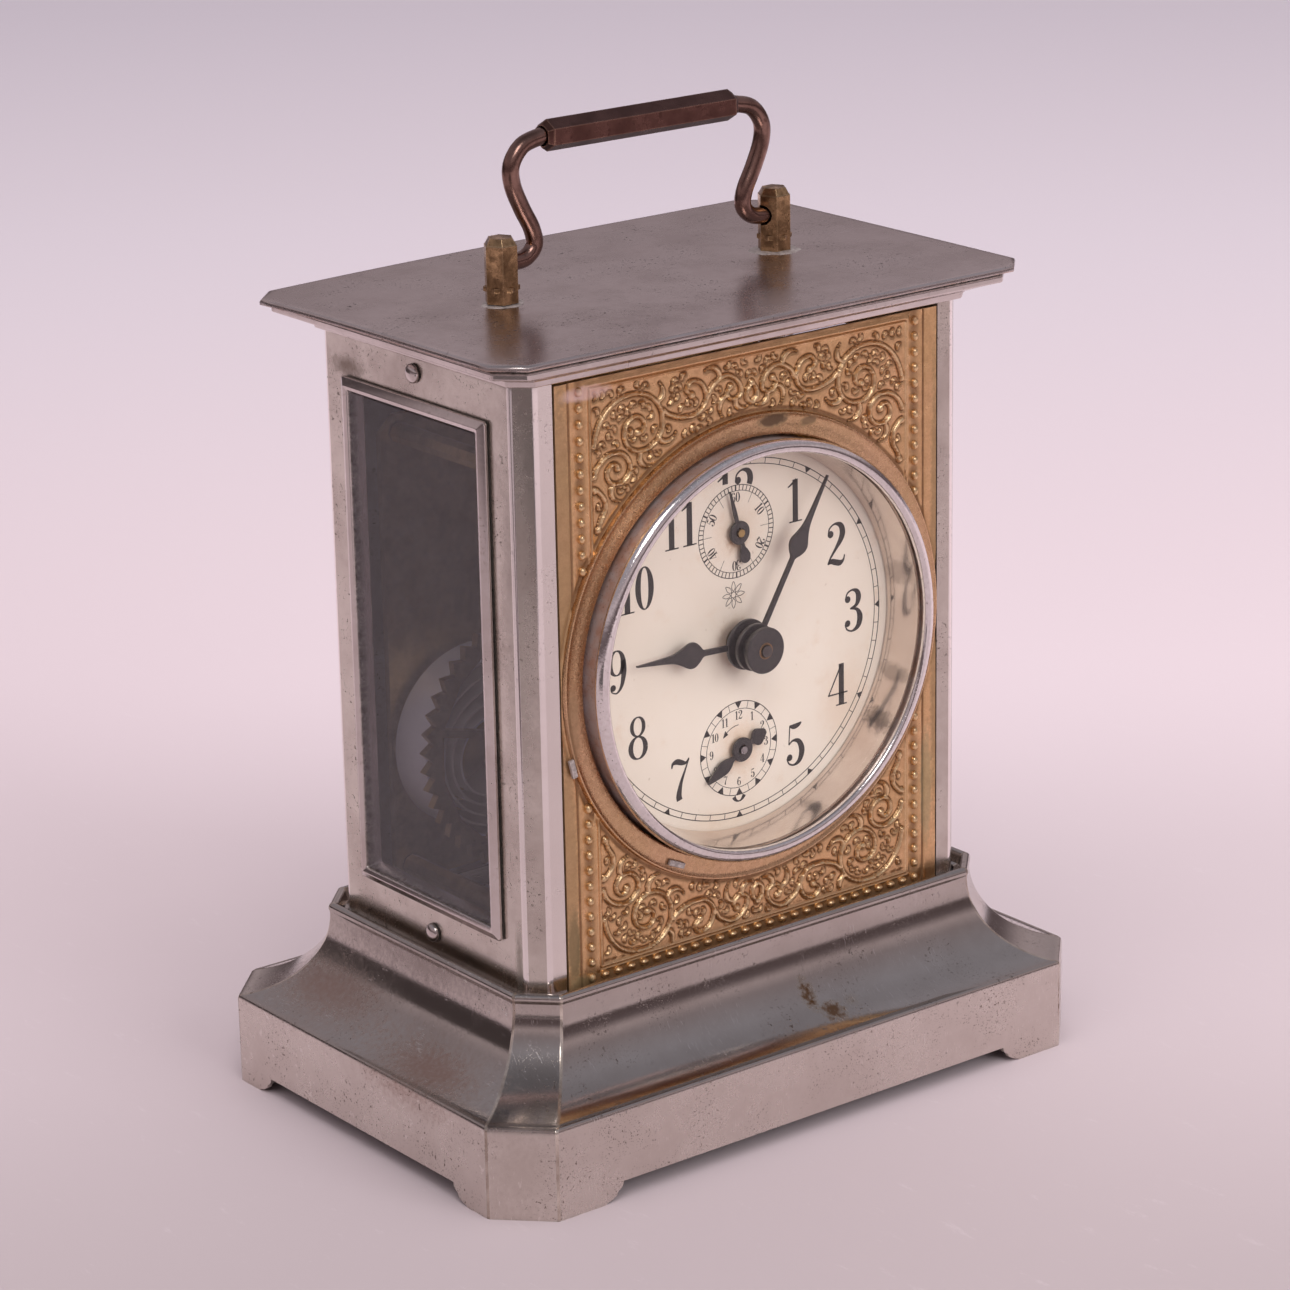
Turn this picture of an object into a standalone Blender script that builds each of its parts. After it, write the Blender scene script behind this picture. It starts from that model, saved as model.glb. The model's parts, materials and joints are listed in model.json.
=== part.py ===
"""Carriage alarm clock: nickel-plated case, brass front, folding handle, going train and alarm train.

Frame: X runs to the right of someone who faces the dial, Y runs to the back and Z up.
The origin is the centre of the base where it stands. All values are in metres.
"""

import math

import bmesh
import bpy
from mathutils import Matrix

MM = 0.001

# ---------------------------------------------------------------- case sizes
BASE_HALF = (62.5 * MM, 44.2 * MM)
BASE_CHAMFER = 8.1 * MM
APRON_TOP = 15.9 * MM
RIM_HALF = (49.3 * MM, 31.9 * MM)
RIM_CHAMFER = 5.5 * MM
RIM_BOTTOM = 30.4 * MM
RIM_TOP = 32.1 * MM
SHEET = 0.8 * MM
FLOOR = (28.5 * MM, 29.5 * MM)

BODY_HALF = (46.05 * MM, 28.3 * MM)
BODY_CHAMFER = 2.9 * MM
BODY_LOW, BODY_HIGH = 29.8 * MM, 132.0 * MM
WALL = 0.7 * MM
POST_FACE = 39.9 * MM
PANEL_HALF = 39.55 * MM
PANEL_LOW, PANEL_HIGH = 30.2 * MM, 131.6 * MM

LID_HALF = (54.3 * MM, 36.0 * MM)
LID_CHAMFER = 4.5 * MM
LID_LOW, LID_TOP = 137.1 * MM, 138.0 * MM
LIP_HALF = (52.8 * MM, 34.5 * MM)
CORNICE_HALF = (47.2 * MM, 29.5 * MM)
CORNICE_LOW, CORNICE_TOP = 132.3 * MM, 136.8 * MM

WINDOW_HALF = (19.85 * MM, 43.5 * MM)
WINDOW_Z = 82.0 * MM
FRAME_RISE = 1.5 * MM
FRAME_DEPTH = 1.6 * MM
FRAME_WIDTH = 2.9 * MM
PANE = (-2.9 * MM, -1.9 * MM)
RIVET_RADIUS = 1.7 * MM
RIVET_HEIGHTS = (34.0 * MM, 129.5 * MM)

HANDLE_X = 28.4 * MM
HANDLE_AXIS_Z = 144.4 * MM
POST_TOP = 148.9 * MM
POST_FLATS = 5.06 * MM
ROD_RADIUS = 1.42 * MM
GRIP_Z = 164.0 * MM
GRIP_HALF = 19.6 * MM
GRIP_FLATS = 4.6 * MM

# ------------------------------------------------- dial side, distances in front of the mid-plane
DIAL_Z = 80.8 * MM
DIAL_FACE = 23.9 * MM
DIAL_BACK = 23.3 * MM
DIAL_RADIUS = 33.9 * MM
OPENING_RADIUS = 36.24 * MM
RING_RADIUS = 39.4 * MM
BEZEL_RADIUS = 35.0 * MM
BEZEL_RIM = 35.6 * MM
BEZEL_LIP = 33.3 * MM
BEZEL_CREST = 33.3 * MM
GLASS = (31.1 * MM, 32.0 * MM)
GLASS_RISE = 1.2 * MM
HOUR_HAND = (26.2 * MM, 26.7 * MM)
MINUTE_HAND = (28.2 * MM, 28.7 * MM)
SMALL_HAND = (24.6 * MM, 25.0 * MM)
MINUTE_LENGTH = 30.6 * MM
HOUR_LENGTH = 23.0 * MM
TIME_IN_MINUTES = 9 * 60 + 5.16
SECONDS_ANGLE = math.radians(-14.6)
ALARM_ANGLE = math.radians(238.5)

# ------------------------------------------------------------ movement sizes
FRONT_PLATE = (14.0 * MM, 15.2 * MM)
BACK_PLATE = (-21.2 * MM, -20.0 * MM)
PLATE_HALF = 39.5 * MM
PLATE_LOW, PLATE_HIGH = 35.0 * MM, 117.0 * MM
PILLARS = ((-36.5, 38.0), (36.5, 38.0), (-36.0, 114.0), (36.0, 114.0))
ARBOR = 1.0 * MM
PIVOT = 0.7 * MM
PLAY = 0.3 * MM
PIVOT_ENDS = (-20.7 * MM, 14.6 * MM)

CENTRE = (0.0, DIAL_Z)
SECONDS = (0.0, DIAL_Z + 18.69 * MM)
ALARM_SET = (0.0, DIAL_Z - 18.76 * MM)
TIME_SPRING = (-18.5 * MM, 60.5 * MM)
ALARM_SPRING = (18.5 * MM, 60.5 * MM)
BALANCE = (30.4 * MM, 101.0 * MM)
BALANCE_RADIUS = 8.8 * MM
FORK = (20.4 * MM, 100.3 * MM)
HAMMER = (31.0 * MM, 84.0 * MM)
REGULATOR_LENGTH = 13.0 * MM
STOP_LEVER = (-10.0 * MM, 110.3 * MM)
STOP_LENGTH = 10.5 * MM
BELL_HEAD_Z = 14.0 * MM

HOUR_TEETH, ALARM_TEETH, MINUTE_PINION = 36, 36, 9
CANNON_TEETH, MINUTE_TEETH = 10, 30
CENTRE_TEETH, THIRD_PINION = 60, 8
THIRD_TEETH, SECONDS_PINION = 64, 8
SECONDS_TEETH, ESCAPE_PINION = 48, 6
GREAT_TEETH, CENTRE_PINION = 45, 9
ESCAPE_TEETH = 15
ESCAPE_TIP, ESCAPE_ROOT = 6.4 * MM, 5.0 * MM
PALLET_GAP = 1.1 * MM
ALARM_GREAT_TEETH, ALARM_PINION = 33, 8

KNOB_PARTS = ((5.0 * MM, 32.2 * MM, 35.6 * MM, 18), (2.4 * MM, 30.2 * MM, 32.4 * MM, 10))

BELL_RADIUS = 29.0 * MM
BELL_RIM_Z = 8.0 * MM
BELL_TOP_Z = 25.5 * MM

FACING = {
    "up": (0, 0, 0),
    "front": (math.pi / 2, 0, 0),
    "back": (math.pi / 2, 0, math.pi),
    "left": (math.pi / 2, 0, -math.pi / 2),
    "right": (math.pi / 2, 0, math.pi / 2),
}

COLOURS = {
    "nickel": ((0.62, 0.57, 0.54), 0.25, 1.0),
    "brass": ((0.55, 0.40, 0.20), 0.35, 1.0),
    "copper": ((0.48, 0.30, 0.20), 0.35, 1.0),
    "steel": ((0.35, 0.35, 0.37), 0.3, 1.0),
    "glass": ((0.9, 0.93, 0.92), 0.05, 0.0),
    "paper": ((0.86, 0.80, 0.68), 0.7, 0.0),
    "black": ((0.02, 0.02, 0.02), 0.3, 0.0),
}


# ------------------------------------------------------------------- helpers
def make_collection(name):
    collection = bpy.data.collections.new(name)
    bpy.context.scene.collection.children.link(collection)
    return collection


def make_material(name, kind):
    colour, roughness, metallic = COLOURS[kind]
    material = bpy.data.materials.new(name)
    material.use_nodes = True
    shader = material.node_tree.nodes["Principled BSDF"]
    shader.inputs["Base Color"].default_value = (*colour, 1.0)
    shader.inputs["Roughness"].default_value = roughness
    shader.inputs["Metallic"].default_value = metallic
    return material


def smooth(mesh):
    mesh.shade_smooth()
    mesh.set_sharp_from_angle(angle=math.radians(35))


def add_piece(name, mesh, kind, facing="up", place=(0, 0, 0), tool=False):
    """An object in the clock's collection, or a hidden tool for a Boolean."""
    thing = bpy.data.objects.new(name, mesh)
    (TOOLS if tool else CLOCK).objects.link(thing)
    thing.location = place
    thing.rotation_euler = FACING[facing]
    if tool:
        thing.hide_render = True
        thing.display_type = "WIRE"
    elif not mesh.materials:
        mesh.materials.append(make_material(name, kind))
    return thing


def combine(thing, mesh, operation):
    """Joins a mesh drawn in the object's own axes to it, or cuts it away."""
    tool = add_piece(f"{thing.name}_tool", mesh, None, tool=True)
    tool.location = thing.location
    tool.rotation_euler = thing.rotation_euler
    boolean = thing.modifiers.new(operation.lower(), "BOOLEAN")
    boolean.operation = operation
    boolean.solver = "EXACT"
    boolean.object = tool


def assemble(name, kind, facing, place, solids, holes=()):
    """One solid made of several overlapping ones, less the holes."""
    thing = add_piece(name, solids[0], kind, facing, place)
    for solid in solids[1:]:
        combine(thing, solid, "UNION")
    for hole in holes:
        combine(thing, hole, "DIFFERENCE")
    return thing


def finish_mesh(name, builder):
    mesh = bpy.data.meshes.new(name)
    bmesh.ops.recalc_face_normals(builder, faces=builder.faces)
    builder.to_mesh(mesh)
    builder.free()
    smooth(mesh)
    return mesh


def cylinder(radius, low, high, segments=12, centre=(0, 0), top_radius=None, turn=0.0):
    builder = bmesh.new()
    middle = Matrix.Translation((*centre, (low + high) / 2)) @ Matrix.Rotation(turn, 4, "Z")
    bmesh.ops.create_cone(
        builder,
        cap_ends=True,
        segments=segments,
        radius1=radius,
        radius2=radius if top_radius is None else top_radius,
        depth=high - low,
        matrix=middle,
    )
    return finish_mesh("cylinder", builder)


def box(low, high):
    size = [b - a for a, b in zip(low, high)]
    middle = [(a + b) / 2 for a, b in zip(low, high)]
    builder = bmesh.new()
    bmesh.ops.create_cube(builder, size=1, matrix=Matrix.Translation(middle) @ Matrix.Diagonal((*size, 1)))
    return finish_mesh("box", builder)


def circle(radius, count, centre=(0, 0), turn=0.0):
    return [
        (
            centre[0] + radius * math.cos(turn + 2 * math.pi * i / count),
            centre[1] + radius * math.sin(turn + 2 * math.pi * i / count),
        )
        for i in range(count)
    ]


def flat(outlines, low, high):
    """A flat solid: the first outline less the others, between two heights."""
    curve = bpy.data.curves.new("outline", "CURVE")
    curve.dimensions = "2D"
    curve.fill_mode = "BOTH"
    curve.extrude = (high - low) / 2
    for outline in outlines:
        spline = curve.splines.new("POLY")
        spline.points.add(len(outline) - 1)
        for point, (x, y) in zip(spline.points, outline):
            point.co = (x, y, 0, 1)
        spline.use_cyclic_u = True
    return curve_mesh(curve, (low + high) / 2)


def curve_mesh(curve, lift=0.0):
    """A curve as a closed mesh, lifted along Z."""
    guide = bpy.data.objects.new("guide", curve)
    bpy.context.scene.collection.objects.link(guide)
    graph = bpy.context.evaluated_depsgraph_get()
    mesh = bpy.data.meshes.new_from_object(guide.evaluated_get(graph))
    bpy.data.objects.remove(guide)
    builder = bmesh.new()
    builder.from_mesh(mesh)
    bmesh.ops.remove_doubles(builder, verts=builder.verts, dist=0.002 * MM)
    bmesh.ops.translate(builder, verts=builder.verts, vec=(0, 0, lift))
    return finish_mesh("flat", builder)


def wire(points, radius):
    """A round bar through the points, with flat ends."""
    curve = bpy.data.curves.new("wire", "CURVE")
    curve.dimensions = "3D"
    curve.bevel_depth = radius
    curve.bevel_resolution = 2
    curve.use_fill_caps = True
    spline = curve.splines.new("POLY")
    spline.points.add(len(points) - 1)
    for point, place in zip(spline.points, points):
        point.co = (*place, 1)
    return curve_mesh(curve)


def turned(name, kind, facing, place, profile, segments):
    """A profile of (radius, height) points turned about the piece's Z axis: a solid if it starts on the axis."""
    mesh = bpy.data.meshes.new(name)
    edges = [(i, i + 1) for i in range(len(profile) - 1)]
    if profile[0][0] > 0:
        edges.append((len(profile) - 1, 0))
    mesh.from_pydata([(radius, 0, height) for radius, height in profile], edges, [])
    thing = add_piece(name, mesh, kind, facing, place)
    screw = thing.modifiers.new("turn", "SCREW")
    screw.steps = segments
    screw.render_steps = segments
    screw.merge_threshold = 0.00001
    screw.use_merge_vertices = True
    screw.use_smooth_shade = True
    screw.use_normal_calculate = False
    return thing


def ring(inner, outer, low, high, segments=12, turn=0.0):
    return flat([circle(outer, segments, turn=turn), circle(inner, segments, turn=turn)], low, high)


def chamfered(half_x, half_y, chamfer):
    """The corners of a rectangle with its own corners cut off."""
    near_x, near_y = half_x - chamfer, half_y - chamfer
    return [
        (near_x, -half_y),
        (half_x, -near_y),
        (half_x, near_y),
        (near_x, half_y),
        (-near_x, half_y),
        (-half_x, near_y),
        (-half_x, -near_y),
        (-near_x, -half_y),
    ]


def loft(name, sections, closed=True):
    """A skin over sections of (half_x, half_y, chamfer, height). Closed makes a hoop, open a lidded block."""
    builder = bmesh.new()
    loops = []
    for half_x, half_y, chamfer, height in sections:
        corners = chamfered(half_x, half_y, chamfer)
        loops.append([builder.verts.new((x, y, height)) for x, y in corners])
    pairs = list(zip(loops, loops[1:]))
    if closed:
        pairs.append((loops[-1], loops[0]))
    else:
        builder.faces.new(loops[0])
        builder.faces.new(loops[-1])
    for lower, upper in pairs:
        for i in range(8):
            j = (i + 1) % 8
            builder.faces.new((lower[i], lower[j], upper[j], upper[i]))
    return finish_mesh(name, builder)


def frame(outline, profile):
    """A moulding: the profile of (inset, height) points carried round a chamfered rectangle."""
    half_x, half_y, chamfer = outline
    shrink = 2 - math.sqrt(2)
    sections = [
        (half_x - inset, half_y - inset, max(chamfer - inset * shrink, 0.2 * MM), height)
        for inset, height in profile
    ]
    return loft("frame", sections)


# --------------------------------------------------------------------- gears
def direction(start, end):
    return math.atan2(end[1] - start[1], end[0] - start[0])


def distance(start, end):
    return math.hypot(end[0] - start[0], end[1] - start[1])


def meeting_point(start, reach_start, end, reach_end, side):
    """The point at given distances from two others, left (1) or right (-1) of the way between them."""
    gap = distance(start, end)
    along = (reach_start**2 - reach_end**2 + gap**2) / (2 * gap)
    across = side * math.sqrt(reach_start**2 - along**2)
    angle = direction(start, end)
    return (
        start[0] + along * math.cos(angle) - across * math.sin(angle),
        start[1] + along * math.sin(angle) + across * math.cos(angle),
    )


def meshed_turn(turn, teeth, towards, other_teeth):
    """How far the second gear is turned so that its gap takes the first gear's tooth."""
    share = (turn - towards) * teeth / (2 * math.pi)
    return towards + math.pi - (share + 0.5) * 2 * math.pi / other_teeth


def gear_outline(teeth, module, turn):
    pitch_radius = teeth * module / 2
    tip, root = pitch_radius + 0.6 * module, pitch_radius - 1.2 * module
    points = []
    for i in range(teeth):
        angle = turn + 2 * math.pi * i / teeth
        half = math.pi / teeth
        points.append((tip * math.cos(angle), tip * math.sin(angle)))
        points.append((root * math.cos(angle + half), root * math.sin(angle + half)))
    return points


def crossings(rim, hub, count, turn=0.0):
    """The windows between a wheel's spokes."""
    spoke = 1.3 * MM
    windows = []
    for i in range(count):
        start = turn + 2 * math.pi * i / count
        end = start + 2 * math.pi / count
        outline = []
        for radius, order in ((rim, 1), (hub, -1)):
            lean = spoke / (2 * radius)
            low, high = start + lean, end - lean
            steps = 3 if radius == rim else 1
            arc = [low + (high - low) * k / steps for k in range(steps + 1)]
            outline += [(radius * math.cos(a), radius * math.sin(a)) for a in arc[::order]]
        windows.append(outline)
    return windows


def wheel(teeth, module, turn, low, high, bore=None, spokes=4, hub=3.2 * MM):
    outlines = [gear_outline(teeth, module, turn)]
    rim = teeth * module / 2 - 3.0 * module
    if spokes:
        outlines += crossings(rim, hub, spokes, turn=0.4)
    if bore:
        outlines.append(circle(bore, 10))
    return flat(outlines, low, high)


def pinion(teeth, module, turn, low, high, bore=None):
    outlines = [gear_outline(teeth, module, turn)]
    if bore:
        outlines.append(circle(bore, 10))
    return flat(outlines, low, high)


# ----------------------------------------------------------------- gear train
HOUR_MODULE = distance(CENTRE, ALARM_SET) * 2 / (HOUR_TEETH + ALARM_TEETH)
MINUTE_REACH = HOUR_MODULE * (HOUR_TEETH + MINUTE_PINION) / 2
CANNON_MODULE = MINUTE_REACH * 2 / (CANNON_TEETH + MINUTE_TEETH)
MINUTE_STUD = (CENTRE[0] + MINUTE_REACH, CENTRE[1])
THIRD_MODULE = 0.52 * MM
SECONDS_MODULE = 0.46 * MM
THIRD = meeting_point(
    CENTRE,
    THIRD_MODULE * (CENTRE_TEETH + THIRD_PINION) / 2,
    SECONDS,
    SECONDS_MODULE * (THIRD_TEETH + SECONDS_PINION) / 2,
    1,
)
ESCAPE_MODULE = 0.42 * MM
ESCAPE = (SECONDS[0] + ESCAPE_MODULE * (SECONDS_TEETH + ESCAPE_PINION) / 2, SECONDS[1])
GREAT_MODULE = distance(TIME_SPRING, CENTRE) * 2 / (GREAT_TEETH + CENTRE_PINION)
ALARM_MODULE = 1.0 * MM
ALARM_REACH = ALARM_MODULE * (ALARM_GREAT_TEETH + ALARM_PINION) / 2
ALARM_ESCAPE = (
    ALARM_SPRING[0] + ALARM_REACH * math.cos(math.radians(62)),
    ALARM_SPRING[1] + ALARM_REACH * math.sin(math.radians(62)),
)


def at(point):
    """The place of an arbor: its X and Z on the clock's mid-plane."""
    return (point[0], 0, point[1])


# ----------------------------------------------------------------------- case
def base_sections():
    """The stamped base's outer skin from the foot to the rolled rim, then its inner skin back down."""
    start, steps = math.radians(14), 6
    outer = [
        (*BASE_HALF, BASE_CHAMFER, 0.0),
        (*BASE_HALF, BASE_CHAMFER, APRON_TOP - 0.6 * MM),
    ]
    top = (BASE_HALF[0] - 0.5 * MM, BASE_HALF[1] - 0.5 * MM)
    cove = []
    for i in range(steps + 1):
        angle = start + (math.pi / 2 - start) * i / steps
        inward = (math.sin(angle) - math.sin(start)) / (1 - math.sin(start))
        upward = (math.cos(start) - math.cos(angle)) / math.cos(start)
        cove.append(
            (
                top[0] + (RIM_HALF[0] - top[0]) * inward,
                top[1] + (RIM_HALF[1] - top[1]) * inward,
                BASE_CHAMFER + (RIM_CHAMFER - BASE_CHAMFER) * inward,
                APRON_TOP + (RIM_BOTTOM - APRON_TOP) * upward,
            )
        )
    rim_x, rim_y = RIM_HALF
    rim = [
        (rim_x, rim_y, RIM_CHAMFER, RIM_TOP - 0.6 * MM),
        (rim_x - 0.7 * MM, rim_y - 0.7 * MM, RIM_CHAMFER - 0.4 * MM, RIM_TOP),
        (rim_x - 1.5 * MM, rim_y - 1.5 * MM, RIM_CHAMFER - 0.9 * MM, RIM_TOP - 0.3 * MM),
        (rim_x - 2.2 * MM, rim_y - 2.2 * MM, RIM_CHAMFER - 1.3 * MM, RIM_BOTTOM - 0.5 * MM),
    ]
    inner = [
        (x - SHEET, y - SHEET, chamfer - 0.5 * MM, z - SHEET * (0.9 if i < 4 else 0.35))
        for i, (x, y, chamfer, z) in enumerate(cove[:-1])
    ]
    inner_foot = (BASE_HALF[0] - SHEET, BASE_HALF[1] - SHEET, BASE_CHAMFER - 0.5 * MM)
    return outer + cove + rim + inner[::-1] + [(*inner_foot, 0.0)]


def foot_cut(reach, length):
    """The cut that leaves a bracket foot at each corner: its outline runs across, its length through."""
    half = [
        (reach + 4.6 * MM, -1.0 * MM),
        (reach + 3.4 * MM, 0.25 * MM),
        (reach + 1.4 * MM, 1.1 * MM),
        (reach + 0.5 * MM, 2.1 * MM),
        (reach, 3.2 * MM),
    ]
    outline = half + [(-x, y) for x, y in half[::-1]]
    return flat([outline], -length, length)


def make_base():
    base = add_piece("base_shell", loft("base_shell", base_sections()), "nickel")
    for facing, reach, length in (("front", 41.3 * MM, 60 * MM), ("left", 26.7 * MM, 80 * MM)):
        tool = add_piece(f"foot_cut_{facing}", foot_cut(reach, length), None, facing, tool=True)
        boolean = base.modifiers.new("feet", "BOOLEAN")
        boolean.operation = "DIFFERENCE"
        boolean.solver = "EXACT"
        boolean.object = tool
    slot = box((27 * MM, 8 * MM, FLOOR[0] - MM), (35 * MM, 16 * MM, FLOOR[1] + MM))
    assemble(
        "case_floor",
        "steel",
        "up",
        (0, 0, 0),
        [flat([chamfered(46.4 * MM, 29.0 * MM, 3.5 * MM)], *FLOOR)],
        [slot],
    )


def make_bell():
    """A bell screwed under the floor, its mouth down."""
    thickness = 0.9 * MM
    steps = 5
    height = BELL_TOP_Z - BELL_RIM_Z
    arc = [math.radians(90 * i / steps) for i in range(steps + 1)]
    outer = [
        (BELL_RADIUS * math.sin(a) ** 0.75, BELL_RIM_Z + height * math.cos(a) ** 0.9) for a in arc[1:]
    ]
    inner = [(radius - thickness, max(z - thickness, BELL_RIM_Z)) for radius, z in outer[::-1]]
    stem_radius, stem_top = 2.5 * MM, FLOOR[0] - PLAY
    profile = (
        [(0.0, stem_top), (stem_radius, stem_top), (stem_radius, BELL_TOP_Z)]
        + outer
        + inner
        + [(stem_radius, BELL_TOP_Z - 1.4 * MM), (0.0, BELL_TOP_Z - 1.4 * MM)]
    )
    turned("bell", "steel", "up", (0, 0, 0), profile, 24)


def make_side(side):
    """A folded side: flat wall, two chamfered corners and two returns, with the window hole."""
    sign = -1 if side == "left" else 1
    half_x, half_y = BODY_HALF
    inner_chamfer = BODY_CHAMFER - WALL * (2 - math.sqrt(2))
    outer = [
        (POST_FACE, -half_y),
        (half_x - BODY_CHAMFER, -half_y),
        (half_x, BODY_CHAMFER - half_y),
        (half_x, half_y - BODY_CHAMFER),
        (half_x - BODY_CHAMFER, half_y),
        (POST_FACE, half_y),
    ]
    inner_x, inner_y = half_x - WALL, half_y - WALL
    inner = [
        (POST_FACE, inner_y),
        (inner_x - inner_chamfer, inner_y),
        (inner_x, inner_y - inner_chamfer),
        (inner_x, inner_chamfer - inner_y),
        (inner_x - inner_chamfer, -inner_y),
        (POST_FACE, -inner_y),
    ]
    outline = [(sign * x, y) for x, y in outer + inner]
    hole_y = WINDOW_HALF[0] - FRAME_WIDTH + 1.0 * MM
    hole_z = WINDOW_HALF[1] - FRAME_WIDTH + 1.0 * MM
    reach = sorted((sign * (half_x - 3 * MM), sign * (half_x + 3 * MM)))
    hole = box((reach[0], -hole_y, WINDOW_Z - hole_z), (reach[1], hole_y, WINDOW_Z + hole_z))
    assemble(f"side_wall_{side}", "nickel", "up", (0, 0, 0), [flat([outline], BODY_LOW, BODY_HIGH)], [hole])

    place = (sign * half_x, 0, WINDOW_Z)
    profile = [
        (0.0, 0.25 * MM),
        (0.0, 0.8 * MM),
        (1.3 * MM, FRAME_RISE),
        (2.0 * MM, FRAME_RISE - 0.3 * MM),
        (FRAME_WIDTH, -FRAME_DEPTH),
        (FRAME_WIDTH - 0.6 * MM, -FRAME_DEPTH),
        (FRAME_WIDTH - 0.6 * MM, 0.25 * MM),
    ]
    moulding = frame((*WINDOW_HALF, 0.4 * MM), profile)
    add_piece(f"window_frame_{side}", moulding, "nickel", side, place)
    pane_y, pane_z = WINDOW_HALF[0] - 1.2 * MM, WINDOW_HALF[1] - 1.2 * MM
    pane = box((-pane_y, -pane_z, PANE[0]), (pane_y, pane_z, PANE[1]))
    add_piece(f"window_glass_{side}", pane, "glass", side, place)

    for level, height in zip(("lower", "upper"), RIVET_HEIGHTS):
        dome = [
            (0.0, 0.25 * MM + 1.0 * MM),
            (0.9 * MM, 0.25 * MM + 0.85 * MM),
            (1.5 * MM, 0.25 * MM + 0.45 * MM),
            (RIVET_RADIUS, 0.25 * MM),
            (0.0, 0.25 * MM),
        ]
        turned(f"rivet_{side}_{level}", "nickel", side, (sign * half_x, 0, height), dome, 10)


def make_front():
    """The brass front with its raised ring, and the back sheet with the arbors' holes."""
    face = BODY_HALF[1]
    outline = [
        (-PANEL_HALF, PANEL_LOW - DIAL_Z),
        (PANEL_HALF, PANEL_LOW - DIAL_Z),
        (PANEL_HALF, PANEL_HIGH - DIAL_Z),
        (-PANEL_HALF, PANEL_HIGH - DIAL_Z),
    ]
    sheet = flat([outline, circle(OPENING_RADIUS, 40)], face - SHEET, face)
    raised = ring(OPENING_RADIUS + 0.3 * MM, RING_RADIUS, face - 0.4 * MM, face + 0.9 * MM, 40)
    assemble("front_panel", "brass", "front", at(CENTRE), [sheet, raised])

    def around(point, radius):
        return circle(radius, 10, (-point[0], point[1] - DIAL_Z))

    holes = [
        around(CENTRE, 2.2 * MM),
        around(ALARM_SET, 2.2 * MM),
        around(TIME_SPRING, 3.0 * MM),
        around(ALARM_SPRING, 3.0 * MM),
    ]
    back = flat([outline] + holes, face - SHEET, face)
    assemble("back_panel", "nickel", "back", at(CENTRE), [back], [regulator_slot(), stop_slot()])


def regulator_slot():
    x, z = -BALANCE[0], BALANCE[1] - DIAL_Z + REGULATOR_LENGTH - 2.0 * MM
    return box((x - 7.2 * MM, z - 3.4 * MM, 26 * MM), (x + 7.2 * MM, z + 2.2 * MM, 30 * MM))


def stop_slot():
    x, z = -STOP_LEVER[0], STOP_LEVER[1] - DIAL_Z + STOP_LENGTH
    return box((x - 6.5 * MM, z - 2.8 * MM, 26 * MM), (x + 6.5 * MM, z + 2.8 * MM, 30 * MM))


def make_dial():
    crest, lip = BEZEL_CREST, BEZEL_LIP
    profile = [
        (lip, crest - 0.3 * MM),
        (lip + 1.1 * MM, crest),
        (BEZEL_RIM, crest - 0.5 * MM),
        (BEZEL_RIM, crest - 1.2 * MM),
        (BEZEL_RADIUS, crest - 1.7 * MM),
        (BEZEL_RADIUS, DIAL_BACK - 0.5 * MM),
        (BEZEL_RADIUS - 0.7 * MM, DIAL_BACK - 0.5 * MM),
        (BEZEL_RADIUS - 0.7 * MM, GLASS[1] + 0.3 * MM),
        (lip, GLASS[1] + 0.4 * MM),
    ]
    turned("bezel", "nickel", "front", at(CENTRE), profile, 40)

    steps = 3
    edge = DIAL_RADIUS
    dome = [edge * i / steps for i in range(steps + 1)]
    rises = [GLASS_RISE * (1 - (radius / edge) ** 2) for radius in dome]
    outer = [(radius, GLASS[1] + rise) for radius, rise in zip(dome, rises)]
    inner = [(radius, GLASS[0] + rise) for radius, rise in zip(dome, rises)]
    turned("front_glass", "glass", "front", at(CENTRE), outer + inner[::-1], 32)

    wall = [
        (33.4 * MM, GLASS[0] - PLAY),
        (DIAL_RADIUS, GLASS[0] - PLAY),
        (DIAL_RADIUS, DIAL_FACE + PLAY),
        (32.4 * MM, DIAL_FACE + PLAY),
    ]
    turned("dial_surround", "paper", "front", at(CENTRE), wall, 36)

    holes = [circle(2.4 * MM, 10)]
    for point in (SECONDS, ALARM_SET):
        holes.append(circle(1.2 * MM, 8, (0, point[1] - DIAL_Z)))
    disc = flat([circle(DIAL_RADIUS, 36)] + holes, DIAL_BACK, DIAL_FACE)
    add_piece("dial", disc, "paper", "front", at(CENTRE))


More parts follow.
